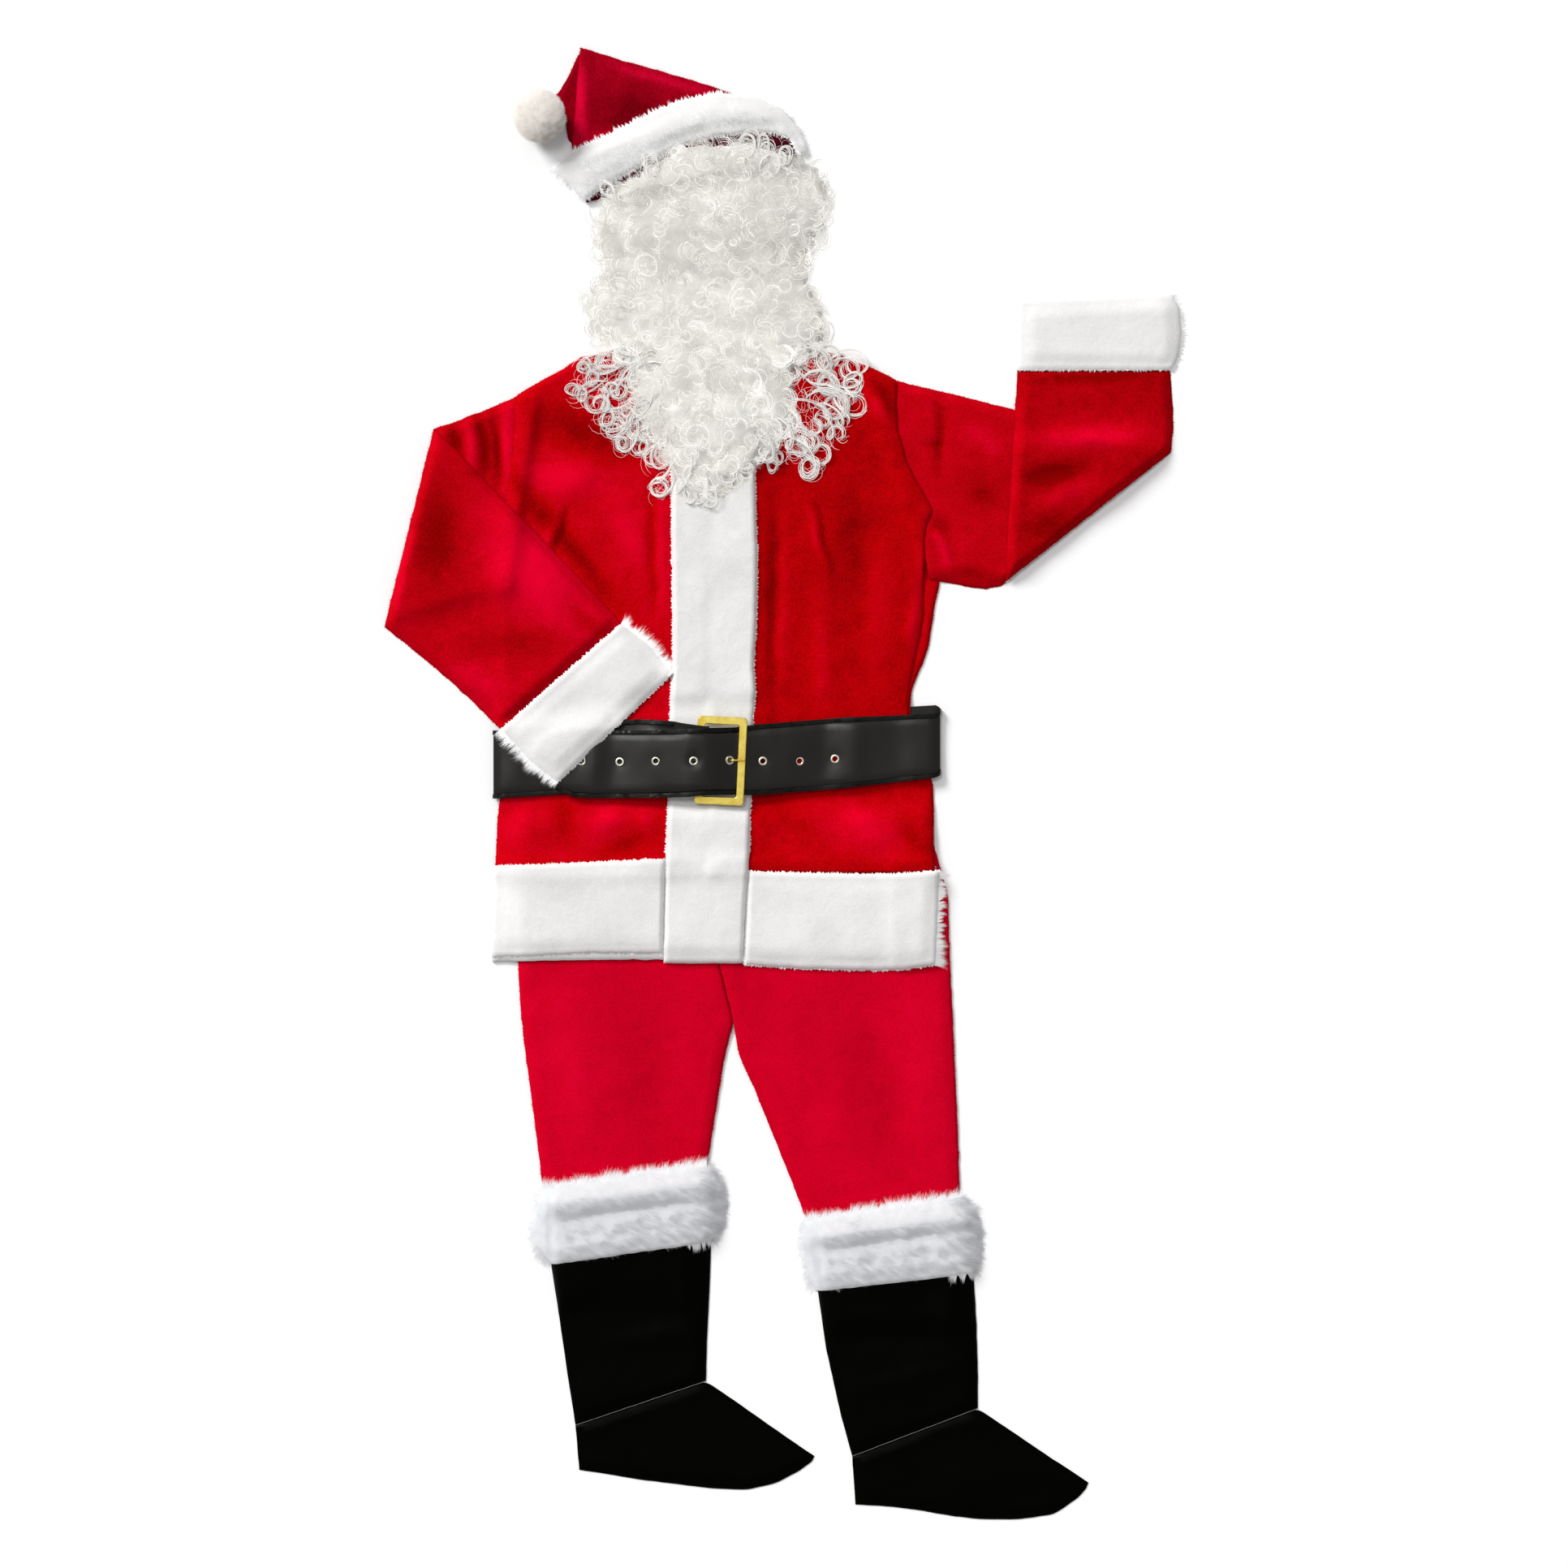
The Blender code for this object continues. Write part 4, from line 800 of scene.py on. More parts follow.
def grid_faces(rows, columns, keep=None, flip=False, shift=0):
    """The faces of a grid of points, or only those to keep."""
    index = np.arange(rows * columns).reshape(rows, columns) + shift
    quads = np.stack([index[:-1, :-1], index[:-1, 1:], index[1:, 1:], index[1:, :-1]], axis=2)
    quads = quads[..., ::-1] if flip else quads
    return quads.reshape(-1, 4) if keep is None else quads[keep]


def facing_up(surface):
    """Whether the grid's faces, taken in order, look up."""
    a = surface.grid[1, 0] - surface.grid[0, 0]
    b = surface.grid[0, 1] - surface.grid[0, 0]
    return (b[0] * a[1] - b[1] * a[0]) > 0


def cloth_object(name, surface, look, tube=False, ajar=False):
    """The top, its edges and a strip turned under; a tube has its whole underside and open ends.

    One that is ajar is open along its right border too.
    """
    rows, columns = surface.grid.shape[:2]
    up = facing_up(surface)
    count = rows * columns
    points = np.concatenate([surface.over.reshape(-1, 3), surface.low.reshape(-1, 3)])
    faces = [grid_faces(rows, columns, flip=not up)]
    keep = None
    if not tube:
        keep = np.zeros((rows - 1, columns - 1), bool)
        keep[:STRIP] = keep[-STRIP:] = True
        keep[:, :STRIP] = keep[:, -STRIP:] = True
    faces.append(grid_faces(rows, columns, keep, flip=up, shift=count))
    index = np.arange(count).reshape(rows, columns)
    borders = [(index[:, 0], up)]
    if not ajar:
        borders.append((index[:, -1], not up))
    if not tube:
        borders += [(index[0], not up), (index[-1], up)]
    for border, turned in borders:
        a, b = border[:-1], border[1:]
        wall = np.column_stack([a, b, b + count, a + count])
        faces.append(wall if turned else wall[:, ::-1])
    made = mesh_object(name, points, np.concatenate(faces), look)
    tint(made, surface.tone)
    return made


def blades(name, roots, facing, directions, lengths, look, tone, tips=0.5):
    """Single-facet hairs, shaded like the surface that they stand on, each with its own tone."""
    half = unit(np.cross(directions, facing)) * look.width / 2 * MM
    looks_down = (np.cross(half, directions) * facing).sum(axis=1) < 0
    half[looks_down] *= -1
    tip = roots + directions * lengths[:, None]
    points = np.stack([roots - half, roots + half, tip], axis=1).reshape(-1, 3)
    points[:, 2] = np.maximum(points[:, 2], 0.1 * MM)
    made = mesh_object(name, points, np.arange(len(points)).reshape(-1, 3), look)
    tint(made, np.repeat(tone, 3))
    made.visible_shadow = False
    shading = unit(facing + directions * tips)
    made.data.normals_split_custom_set_from_vertices(np.repeat(shading, 3, axis=0))
    return made


# ---------------------------------------------------------------- materials


def linear(red, green, blue):
    """A colour as seen, 0 to 255 each, as the shader's linear values."""
    seen = [value / 255 for value in (red, green, blue)]
    return [v / 12.92 if v <= 0.04045 else ((v + 0.055) / 1.055) ** 2.4 for v in seen] + [1.0]


class Finish:
    """A material whose colour and bump are built up from noise in the object's own space."""

    def __init__(self, name, **sockets):
        """A new material; each keyword names one of the shader's sockets, with _ for a space."""
        self.made = bpy.data.materials.new(name)
        self.made.use_nodes = True
        self.nodes = self.made.node_tree.nodes
        self.link = self.made.node_tree.links.new
        self.shader = self.nodes["Principled BSDF"]
        self.space = self.nodes.new("ShaderNodeTexCoord").outputs["Object"]
        self.last_bump = None
        for socket, value in sockets.items():
            self.shader.inputs[socket.replace("_", " ")].default_value = value

    def noise(self, size, detail=2.0, roughness=0.5, distortion=0.0):
        """Noise with spots of a size in metres."""
        node = self.nodes.new("ShaderNodeTexNoise")
        node.inputs["Scale"].default_value = 1 / size
        node.inputs["Detail"].default_value = detail
        node.inputs["Roughness"].default_value = roughness
        node.inputs["Distortion"].default_value = distortion
        self.link(self.space, node.inputs["Vector"])
        return node.outputs["Fac"]

    def attribute(self, name):
        """A value that the mesh holds at each vertex."""
        node = self.nodes.new("ShaderNodeAttribute")
        node.attribute_name = name
        return node.outputs["Fac"]

    def math(self, operation, a, b):
        """What an operation makes of two numbers or sockets."""
        node = self.nodes.new("ShaderNodeMath")
        node.operation = operation
        for socket, value in zip(node.inputs, (a, b)):
            if isinstance(value, (int, float)):
                socket.default_value = value
            else:
                self.link(value, socket)
        return node.outputs[0]

    def total(self, *parts):
        """The sum of noises, each taken about its middle and multiplied by its share."""
        whole = 0.5
        for source, share in parts:
            centred = self.math("MULTIPLY", self.math("SUBTRACT", source, 0.5), share)
            whole = self.math("ADD", centred, whole)
        return whole

    def ramp(self, source, *stops):
        """Colours between stops, each a place from 0 to 1 and a colour as seen."""
        node = self.nodes.new("ShaderNodeValToRGB")
        elements = node.color_ramp.elements
        while len(elements) < len(stops):
            elements.new(0.5)
        for element, (place, colour) in zip(elements, stops):
            element.position = place
            element.color = linear(*colour)
        self.link(source, node.inputs["Fac"])
        return node.outputs["Color"]

    def colour(self, source):
        """Take the base colour from a socket."""
        self.link(source, self.shader.inputs["Base Color"])

    def rough(self, source, low, high):
        """Roughness between two values."""
        node = self.nodes.new("ShaderNodeMapRange")
        node.inputs["To Min"].default_value = low
        node.inputs["To Max"].default_value = high
        self.link(source, node.inputs["Value"])
        self.link(node.outputs[0], self.shader.inputs["Roughness"])

    def bump(self, source, depth, strength=1.0):
        """Unevenness of a depth in metres, on top of any added before."""
        node = self.nodes.new("ShaderNodeBump")
        node.inputs["Strength"].default_value = strength
        node.inputs["Distance"].default_value = depth
        self.link(source, node.inputs["Height"])
        if self.last_bump:
            self.link(self.last_bump, node.inputs["Normal"])
        self.last_bump = node.outputs["Normal"]
        self.link(self.last_bump, self.shader.inputs["Normal"])


def velour(name, dark, middle, bright):
    """Short red pile, mottled at random, with the painted shade and painted highlights that each vertex's
    tone carries.
    """
    f = Finish(
        name, Roughness=0.8, Sheen_Weight=0.22, Sheen_Roughness=0.4, Sheen_Tint=linear(255, 0, 50),
        Specular_IOR_Level=0.01,
    )
    mottle = f.total(
        (f.attribute("tone"), 1.0),
        (f.noise(0.12, 3), 0.3),
        (f.noise(0.018, 4, 0.6), 0.3),
        (f.noise(0.003, 4, 0.7), 0.75),
    )
    f.colour(f.ramp(mottle, (0.12, dark), (0.5, middle), (0.9, bright)))
    f.bump(f.noise(0.004, 4, 0.65), 0.9 * MM, 0.7)
    f.bump(f.noise(0.0011, 2), 0.5 * MM, 0.6)
    return f.made


def plush(name, tint, shade):
    """Short white pile that has been cut level."""
    f = Finish(name, Roughness=0.9, Sheen_Weight=0.12, Sheen_Roughness=0.5, Specular_IOR_Level=0.12)
    fleece = f.total((f.noise(0.06, 2), 0.5), (f.noise(0.009, 5, 0.65), 0.45), (f.noise(0.0025, 3), 0.3))
    f.colour(f.ramp(fleece, (0.1, shade), (0.62, tint)))
    f.bump(f.noise(0.012, 4, 0.6, 0.6), 1.6 * MM, 0.3)
    f.bump(f.noise(0.0022, 3), 0.6 * MM, 0.45)
    return f.made


def hairs(name, tint, shade, size=0.03):
    """Fibres of white pile or hair."""
    f = Finish(name, Roughness=0.62, Sheen_Weight=0.1, Specular_IOR_Level=0.25)
    lock = f.total((f.attribute("tone"), 1.0), (f.noise(size, 3), 0.3))
    f.colour(f.ramp(lock, (0.15, shade), (0.7, tint)))
    return f.made


def curl_fibre():
    """Off-white strands, some locks brighter than others at random, and painted highlights on the glint
    strands.
    """
    f = Finish("curl_fibre", Roughness=0.5, Specular_IOR_Level=0.35)
    shine = f.total((f.attribute("tone"), 1.0), (f.noise(0.05, 2), 0.3))
    f.colour(f.ramp(shine, (0.1, (184, 181, 175)), (0.5, (212, 210, 204)), (0.95, (250, 249, 246))))
    f.bump(f.noise(0.003, 3), 0.4 * MM, 0.4)
    return f.made


def red_fibre():
    """The tips of the red pile, seen along an edge."""
    f = Finish("red_fibre", Roughness=0.9, Specular_IOR_Level=0.02)
    f.colour(f.ramp(f.noise(0.004, 2), (0.2, (112, 0, 3)), (0.8, (184, 0, 18))))
    return f.made


def vinyl(name, tint, low, high, wave, depth, gloss):
    """Soft black sheet with slow waves and a faint grain."""
    f = Finish(name, Base_Color=linear(*tint), Specular_IOR_Level=gloss)
    f.rough(f.noise(0.02, 4, 0.6), low, high)
    f.bump(f.noise(wave, 1.0, 0.4), depth, 1.0)
    f.bump(f.noise(0.0016, 3, 0.6), 0.05 * MM, 0.6)
    return f.made


def plated(name, dark, bright):
    """Polished plating, with light caught along its edges."""
    f = Finish(name, Metallic=1.0)
    f.colour(f.ramp(f.noise(0.01, 3), (0.2, dark), (0.8, bright)))
    f.rough(f.noise(0.008, 3, 0.6), 0.36, 0.42)
    edge = f.nodes.new("ShaderNodeBevel")
    edge.inputs["Radius"].default_value = 1.4 * MM
    f.last_bump = edge.outputs["Normal"]
    f.bump(f.noise(0.02, 2), 0.1 * MM, 0.3)
    return f.made


def thread():
    """Pale sewing thread against the black."""
    f = Finish("thread", Roughness=0.6)
    f.colour(f.ramp(f.noise(0.002, 2), (0.2, (74, 72, 68)), (0.8, (126, 124, 118))))
    return f.made


def floor_finish():
    """A pale, nearly smooth table."""
    f = Finish("floor", Roughness=0.7, Base_Color=FLOOR_TINT, Specular_IOR_Level=0.1)
    f.bump(f.noise(0.004, 3), 0.1 * MM, 0.3)
    return f.made


# ---------------------------------------------------------------- laying the cloth


def belt_press(y):
    """0 under the belt, 1 well away from it."""
    low, high = BELT_ZONE
    return smoothstep(np.maximum(low - y, y - high) / PRESS_BLEND)


def lay(
    laid, name, table, look, folds=(), tones=(), rolls=CUT, loft=None, spacing=FINE, smooth=2,
    wobble=0.5, passes=14, pressed=False, low=None, beside=False, tone=0, parts=False, tube=False,
    ajar=False, nodes=None,
):
    """Lay one piece of cloth over what is there, in place of its solids; returns its surface.

    Its solid has its own name, unless nodes are given. A piece that is one of several parts isn't made
    yet, and one that has others beside it is left out of the heights until those are laid.
    """
    seed = seed_of(name)
    surface = Surface(table, spacing, smooth, wobble, seed)
    x, y = surface.grid[..., 0], surface.grid[..., 1]
    height = relief(surface.grid, folds, seed)
    uneven = waves(x, y, 75 * MM, seed) + waves(x, y, 26 * MM, seed + 1) * 0.25
    surface.shape(
        laid.under(surface.grid, passes),
        look.thick,
        look.loft if loft is None else loft,
        rolls,
        height + uneven * look.uneven * MM,
        belt_press(y) if pressed else None,
        low,
        PLUSH_EASE if look.thick == PLUSH else EASE,
    )
    if not beside:
        laid.add_skin(surface.over)
    # Painted light and shade: the folds' height makes ridges lighter and troughs darker, the tables of
    # tones add their bands and tone shifts the whole piece
    tone = height / FOLD_SHADE_STEP + relief(surface.grid, tones, seed) / MM + tone
    surface.tone = np.clip(tone, -MOST_TONE, MOST_TONE) + 0.5
    if parts:
        return surface
    surface.made = cloth_object(name, surface, look, tube, ajar)
    if nodes is None:
        nodes = [name.removesuffix("_cloth")]
    if nodes:
        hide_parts(*nodes)
    return surface


def declare(surfaces, layers=1):
    """Work out the area cut for a sheet, over its surfaces and layers; nothing is done with it."""
    area = sum(surface.area().sum() for surface in surfaces) * layers


def join_parts(name, surfaces, look):
    """One tube of several surfaces, such as the two halves of a folded sleeve."""
    made = [cloth_object(f"{name}_{k}", part, look, tube=True) for k, part in enumerate(surfaces)]
    with bpy.context.temp_override(active_object=made[0], selected_editable_objects=made):
        bpy.ops.object.join()
    made[0].name = name
    return made[0]


def fringe(
    name, surface, sides, look, per_mm, length,
    lean=0.3, inset=3.0, spread=0.15, clump=4.0, part=(0, 1), comb=0, tone=0.6,
):
    """Hairs that stand out of a cloth's borders, gathered to points."""
    rng = np.random.default_rng(seed_of(name))
    roots, facing, ways = [], [], []
    for side in sides:
        points, out = surface.side(side)
        run = np.concatenate([[0], np.cumsum(np.linalg.norm(np.diff(points, axis=0), axis=1))])
        count = int(run[-1] / MM * per_mm * (part[1] - part[0]))
        place = rng.uniform(part[0] * run[-1], part[1] * run[-1], count)
        at, away, along = (
            np.column_stack([np.interp(place, run, line[:, k]) for k in range(3)])
            for line in (points, out, np.gradient(points, axis=0))
        )
        tuft = np.round(place / (clump * MM)).astype(int)
        centre = (tuft + rng.uniform(-0.7, 0.7, tuft.max() + 1)[tuft]) * clump * MM - place
        size = length * MM * rng.uniform(0.35, 1.0, tuft.max() + 1)[tuft] * rng.uniform(0.4, 1.0, count)
        at += away * rng.uniform(-inset, 0.3, count)[:, None] * MM
        at[:, 2] += rng.uniform(-1.0, 0.6, count) * MM
        sweep = centre * 0.8 + (comb + rng.normal(0, spread, count)) * size
        way = away * size[:, None] + unit(along) * sweep[:, None]
        way[:, 2] += (lean + rng.normal(0, 0.25, count)) * size
        roots.append(at)
        ways.append(way)
        facing.append(unit(away * 0.1 + UP))
    ways = np.concatenate(ways)
    lengths = np.clip(np.linalg.norm(ways, axis=1), 0.5 * MM, None)
    tones = rng.normal(tone, 0.12, len(ways))
    return blades(name, np.concatenate(roots), np.concatenate(facing), unit(ways), lengths, look, tones)


def nap(name, surface, sides, looks, length=2.4):
    """The red pile that shows as a soft line along the borders of velour."""
    return fringe(name, surface, sides, looks.nap, per_mm=4, length=length, clump=1.3)


def combed(x, y, comb, seed):
    """Locks of pile: unevenness drawn out along the way that they are combed."""
    along, across = x * comb[0] + y * comb[1], x * comb[1] - y * comb[0]
    fine = waves(along * 0.12, across, 3.5 * MM, seed)
    return fine * 0.7 + waves(along * 0.2, across, 12 * MM, seed + 1) * 0.4


def pile(name, surface, look, per_mm2, length, comb, lean, spread=0.5, clear=0.0, lock=0.3):
    """Hairs all over a cloth's top, combed one way in locks; clear keeps them off its last border."""
    rng = np.random.default_rng(seed_of(name))
    count = int(surface.area().sum() / MM**2 * per_mm2)
    roots, facing, edge, tone = surface.scatter(count, rng)
    keep = edge > clear * MM * rng.uniform(0.4, 1, count)
    roots, facing, tone = roots[keep], facing[keep], tone[keep]
    count = len(roots)
    x, y = roots[:, 0], roots[:, 1]
    way = facing * lean + np.array([*comb, 0])
    roots -= facing * 0.4 * MM
    way[:, 0] += waves(x, y, 30 * MM, 11) * spread + rng.normal(0, 0.14, count)
    way[:, 1] += waves(x, y, 30 * MM, 12) * spread + rng.normal(0, 0.14, count)
    lengths = length * MM * rng.uniform(0.5, 1.0, count) * (1 + 0.25 * waves(x, y, 15 * MM, 13))
    # Each hair takes the tone of the cloth at its root, with its painted fold shade and highlight, and
    # adds combed streaks and random tone
    tone = tone + combed(x, y, comb, 17) * lock + rng.normal(0, 0.1, count)
    return blades(name, roots, unit(facing + 1.2 * UP), unit(way), lengths, look, tone, 0.2)


# ---------------------------------------------------------------- the belt's vinyl


def waved(points, folds):
    """The height that the belt's folds and its faint waves add at each point."""
    return relief(points, folds, BELT_SEED) + waves(points[..., 0], points[..., 1], 80 * MM, 6) * 0.5 * MM


def field_normals(node, points, folds, step=2 * MM):
    """Smooth normals for a strip's face, from its blurred heights with its folds."""
    strip = Heights()
    strip.add_node(node)
    for _ in range(SPREAD_PASSES):
        strip.top = np.maximum(strip.top, blurred(strip.top) * (strip.top == 0))
    for _ in range(SMOOTH_PASSES):
        strip.top = blurred(strip.top)
    slope = []
    for way in (np.array([step, 0]), np.array([0, step])):
        ahead, behind = points[:, None, :2] + way, points[:, None, :2] - way
        rise = strip.read(ahead) - strip.read(behind)
        rise += relief(ahead, folds, BELT_SEED) - relief(behind, folds, BELT_SEED)
        slope.append(-rise[:, 0] / (2 * step))
    return unit(np.column_stack([*slope, np.ones(len(points))]))


def sliced(node):
    """A packed strip, cut finely enough to wave and with its height smoothed."""
    mesh = bmesh.new()
    mesh.from_mesh(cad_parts[node].data)
    bmesh.ops.remove_doubles(mesh, verts=mesh.verts, dist=0.02 * MM)
    low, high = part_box(node)
    for axis in (0, 1):
        for place in np.arange(low[axis] + SLICE, high[axis], SLICE):
            where, normal = [0, 0, 0], [0, 0, 0]
            where[axis], normal[axis] = place, 1
            parts = mesh.verts[:] + mesh.edges[:] + mesh.faces[:]
            bmesh.ops.bisect_plane(mesh, geom=parts, plane_co=where, plane_no=normal)
    for _ in range(SMOOTH_PASSES):
        bmesh.ops.smooth_vert(mesh, verts=mesh.verts, factor=0.4, use_axis_z=True)
    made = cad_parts[node].data.copy()
    mesh.to_mesh(made)
    mesh.free()
    return made


def supple(node, look, folds, sharp=None):
    """A copy of a packed strip of vinyl that waves and takes its place, with edges sharp past an angle."""
    made = sliced(node)
    points = np.array([v.co for v in made.vertices])
    points[:, 2] = np.maximum(points[:, 2] + waved(points, folds), 0.2 * MM)
    made.vertices.foreach_set("co", points.astype(np.float32).ravel())
    made.shade_smooth()
    if sharp:
        made.set_sharp_from_angle(angle=math.radians(sharp))
    else:
        made.normals_split_custom_set_from_vertices(field_normals(node, points, folds))
    made.materials.clear()
    made.materials.append(look.material)
    piece = placed(f"{node}_vinyl", made)
    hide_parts(node)
    return piece


def refinish(node, material):
    """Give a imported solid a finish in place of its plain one."""
    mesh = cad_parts[node].data
    mesh.materials.clear()
    mesh.materials.append(material)


# ---------------------------------------------------------------- hair


def ribbons(name, lines, widths, look, lift=0.0, tone=None, shadow=True):
    """Flat strands along many lines at once; lines is strands by points by 3, widths strands by points.

    lift turns their shading towards the light overhead, as in a mass of fine hair.
    """
    along = unit(np.gradient(lines, axis=1))
    across = unit(np.cross(along, UP) + 1e-9)
    half = across * (widths / 2)[..., None]
    strands, count = lines.shape[:2]
    points = np.stack([lines - half, lines + half], axis=2).reshape(-1, 3)
    index = np.arange(strands * count * 2).reshape(strands, count, 2)
    corners = [index[:, :-1, 0], index[:, :-1, 1], index[:, 1:, 1], index[:, 1:, 0]]
    made = mesh_object(name, points, np.stack(corners, axis=2).reshape(-1, 4), look)
    made.visible_shadow = shadow
    if tone is not None:
        tint(made, np.repeat(tone, 2 * count))
    if lift:
        facing = np.repeat(unit(np.cross(across, along) + UP * lift).reshape(-1, 3), 2, axis=0)
        made.data.normals_split_custom_set_from_vertices(facing)
    return made


def curls(name, centres, radii, turns, drift, seed, look, strands=14, steps=20, slack=1.0, tone=0.42):
    """A lock of strands for each centre: each strand winds round, closing as it goes, and drifts."""
    rng = np.random.default_rng(seed)
    count = len(centres)
    normal = unit(np.column_stack([rng.normal(0, 0.15, (count, 2)), np.ones(count)]))
    u = unit(np.cross(normal, rng.normal(0, 1, (count, 3))))
    v = np.cross(normal, u)
    hand = rng.choice([-1.0, 1.0], count)
    start = rng.uniform(0, 2 * math.pi, count)
    t = np.linspace(0, 1, steps)
    shade = rng.normal(tone, 0.1, count)
    lines, widths, tones = [], [], []
    for _ in range(strands):
        # Painted highlight: about one strand in nine is made brighter and broader, as a glint
        painted_glint = rng.random(count) < 0.11
        tones.append(shade + rng.normal(0, 0.07, count) + 0.42 * painted_glint)
        phase = start + rng.normal(0, 0.35, count)
        size = radii * rng.uniform(0.6, 1.25, count)
        turn = turns * rng.uniform(0.75, 1.15, count)
        offset = rng.normal(0, 2.4 * slack * MM, (count, 3)) * np.array([1, 1, 0.3])
        angle = phase[:, None] + (hand * 2 * math.pi * turn)[:, None] * t
        reach = size[:, None] * (1.15 - 0.75 * t**1.3)
        ring = np.cos(angle)[..., None] * u[:, None] + np.sin(angle)[..., None] * v[:, None]
        line = (centres + offset)[:, None] + ring * reach[..., None]
        line += drift[:, None] * (t[None, :, None] - 0.3)
        line[..., 2] += np.sin(angle * 0.5 + phase[:, None]) * 1.4 * slack * MM
        lines.append(line)
        taper = np.minimum(1, np.minimum(t * 6 + 0.35, (1 - t) * 5 + 0.25))
        broad = rng.uniform(0.6, 1.2, count) + 0.5 * painted_glint
        widths.append(broad[:, None] * look.width * MM * taper)
    lines, widths, tones = (np.concatenate(part) for part in (lines, widths, tones))
    lines[..., 2] = np.maximum(lines[..., 2], 1.5 * MM)
    return ribbons(name, lines, widths, look, 1.1, tones, shadow=False)


def tendrils(name, anchors, centres, radii, turns, seed, look, strands=7, steps=40):
    """Locks that leave the mass of the hair at an anchor and end in a loop round a centre."""
    rng = np.random.default_rng(seed)
    count = len(centres)
    hand = rng.choice([-1.0, 1.0], count)
    start = rng.uniform(0, 2 * math.pi, count)
    t = np.linspace(0, 1, steps)
    grow = smoothstep(t / 0.5) * (1 - 0.35 * smoothstep((t - 0.55) / 0.45))
    walk = smoothstep(t / 0.62)[None, :, None]
    taper = np.minimum(1, (1 - t) * 6 + 0.25)
    lines, widths = [], []
    for _ in range(strands):
        reach = (radii * rng.uniform(0.84, 1.1, count))[:, None] * grow
        turn = turns * rng.uniform(0.94, 1.06, count)
        shift = rng.normal(0, 1.1 * MM, (count, 3)) * np.array([1, 1, 0.4])
        phase = start + rng.normal(0, 0.12, count)
        angle = phase[:, None] + (hand * 2 * math.pi * turn)[:, None] * t
        line = anchors[:, None] * (1 - walk) + (centres + shift)[:, None] * walk
        line[..., 0] += np.cos(angle) * reach
        line[..., 1] += np.sin(angle) * reach
        line[..., 2] += np.sin(angle + 1) * 1.6 * MM
        lines.append(line)
        widths.append(look.width * MM * taper * rng.uniform(0.4, 1.1, (count, 1)))
    lines, widths = np.concatenate(lines), np.concatenate(widths)
    return ribbons(name, lines, widths, look, 1.0, rng.normal(0.72, 0.22, len(lines)))


def hair_tone(y):
    """The beard is a little whiter than the wig, with a soft change round the chin."""
    return 0.43 + 0.07 * smoothstep((770 * MM - y) / (180 * MM))


def hair_dome(laid, look):
    """The mass of the hair: a bumpy mound between its left and right outlines."""
    surface = Surface(HAIR_MASS, EVEN, wobble=3.0, seed=DOME_SEED)
    base = laid.under(surface.grid, 20) + GAP
    x, y = surface.grid[..., 0], surface.grid[..., 1]
    depths = np.array([(lock.y, lock.depth) for lock in reversed(HAIR_MASS)]) * MM
    depth = np.interp(y, depths[:, 0], depths[:, 1])
    across = np.abs(2 * surface.shares - 1)[None, :]
    crown = np.sqrt(np.clip(1 - across**2.6, 0, 1))
    lumps = waves(x, y, 40 * MM, 71) * 1.6 * MM + waves(x, y, 14 * MM, 72) * 0.4 * MM
    rise = np.maximum((depth - HAIR_REACH + lumps) * crown, 1 * MM)
    surface.low = np.dstack([surface.grid, base])
    surface.over = np.dstack([surface.grid, base + rise])
    surface.tone = hair_tone(y) + waves(x, y, 30 * MM, 73) * 0.08
    laid.add_skin(surface.over)
    surface.made = cloth_object("hair_mass", surface, look)
    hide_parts("wig", "beard")
    return surface


def apart(points, gap):
    """Only those points that keep a gap from all that are kept before them."""
    kept = [0]
    for k in range(1, len(points)):
        if np.linalg.norm(points[kept, :2] - points[k, :2], axis=1).min() > gap:
            kept.append(k)
    return points[kept]


def dense_curls(dome, looks, rng):
    """Curls all over the wig and the beard, hanging a little downwards and outwards."""
    every = apart(dome.scatter(3000, rng)[0], CURL_GAP)
    above = every[:, 1] > CHIN
    for name, roots in (("wig_curls", every[above]), ("beard_curls", every[~above])):
        count = len(roots)
        roots[:, 2] += rng.uniform(0.5, 2.0, count) * MM
        outward = (roots[:, 0] - np.median(roots[:, 0])) * 0.05
        sideways = outward + rng.normal(0, 3 * MM, count)
        down, sinking = rng.normal(-9, 4, count) * MM, rng.normal(-2, 1.5, count) * MM
        drift = np.column_stack([sideways, down, sinking])
        radii = rng.uniform(7.5, 16, count) * MM
        turns = rng.uniform(0.9, 1.8, count)
        curls(name, roots, radii, turns, drift, CURL_SEED, looks.hair, tone=hair_tone(roots[:, 1]))


def loose_curls(laid, looks, rng):
    """Locks that reach out of the beard over the red, two to each place, with a haze of finer hair."""
    spots = np.array([[c.x, c.y] for c in LOOSE_CURLS] * 2) * MM
    count, total = len(LOOSE_CURLS), len(spots)
    spots[count:] += rng.normal(0, 7, (count, 2)) * MM
    anchors = spots + unit(BEARD_MIDDLE - spots) * rng.uniform(30, 48, (total, 1)) * MM
    anchors[:, 1] += 12 * MM
    anchors, spots = (
        np.column_stack([places, laid.under(places[:, None], 4)[:, 0] + 3 * MM])
        for places in (anchors, spots)
    )
    radii = np.array([c.radius for c in LOOSE_CURLS] * 2) * rng.uniform(0.8, 1.25, total) * MM
    turns = rng.uniform(1.1, 1.9, total)
    tendrils("loose_curls", anchors, spots, radii, turns, LOOSE_SEED, looks.strand)
    centres = np.concatenate([spots, (anchors + spots) / 2])
    drift = rng.normal(0, 6 * MM, centres.shape) * np.array([1, 1, 0.2])
    turns = rng.uniform(0.6, 1.3, len(centres))
    curls(
        "loose_haze", centres, np.tile(radii, 2), turns, drift, HAZE_SEED, looks.wisp,
        strands=3, steps=18, slack=2.2,
    )


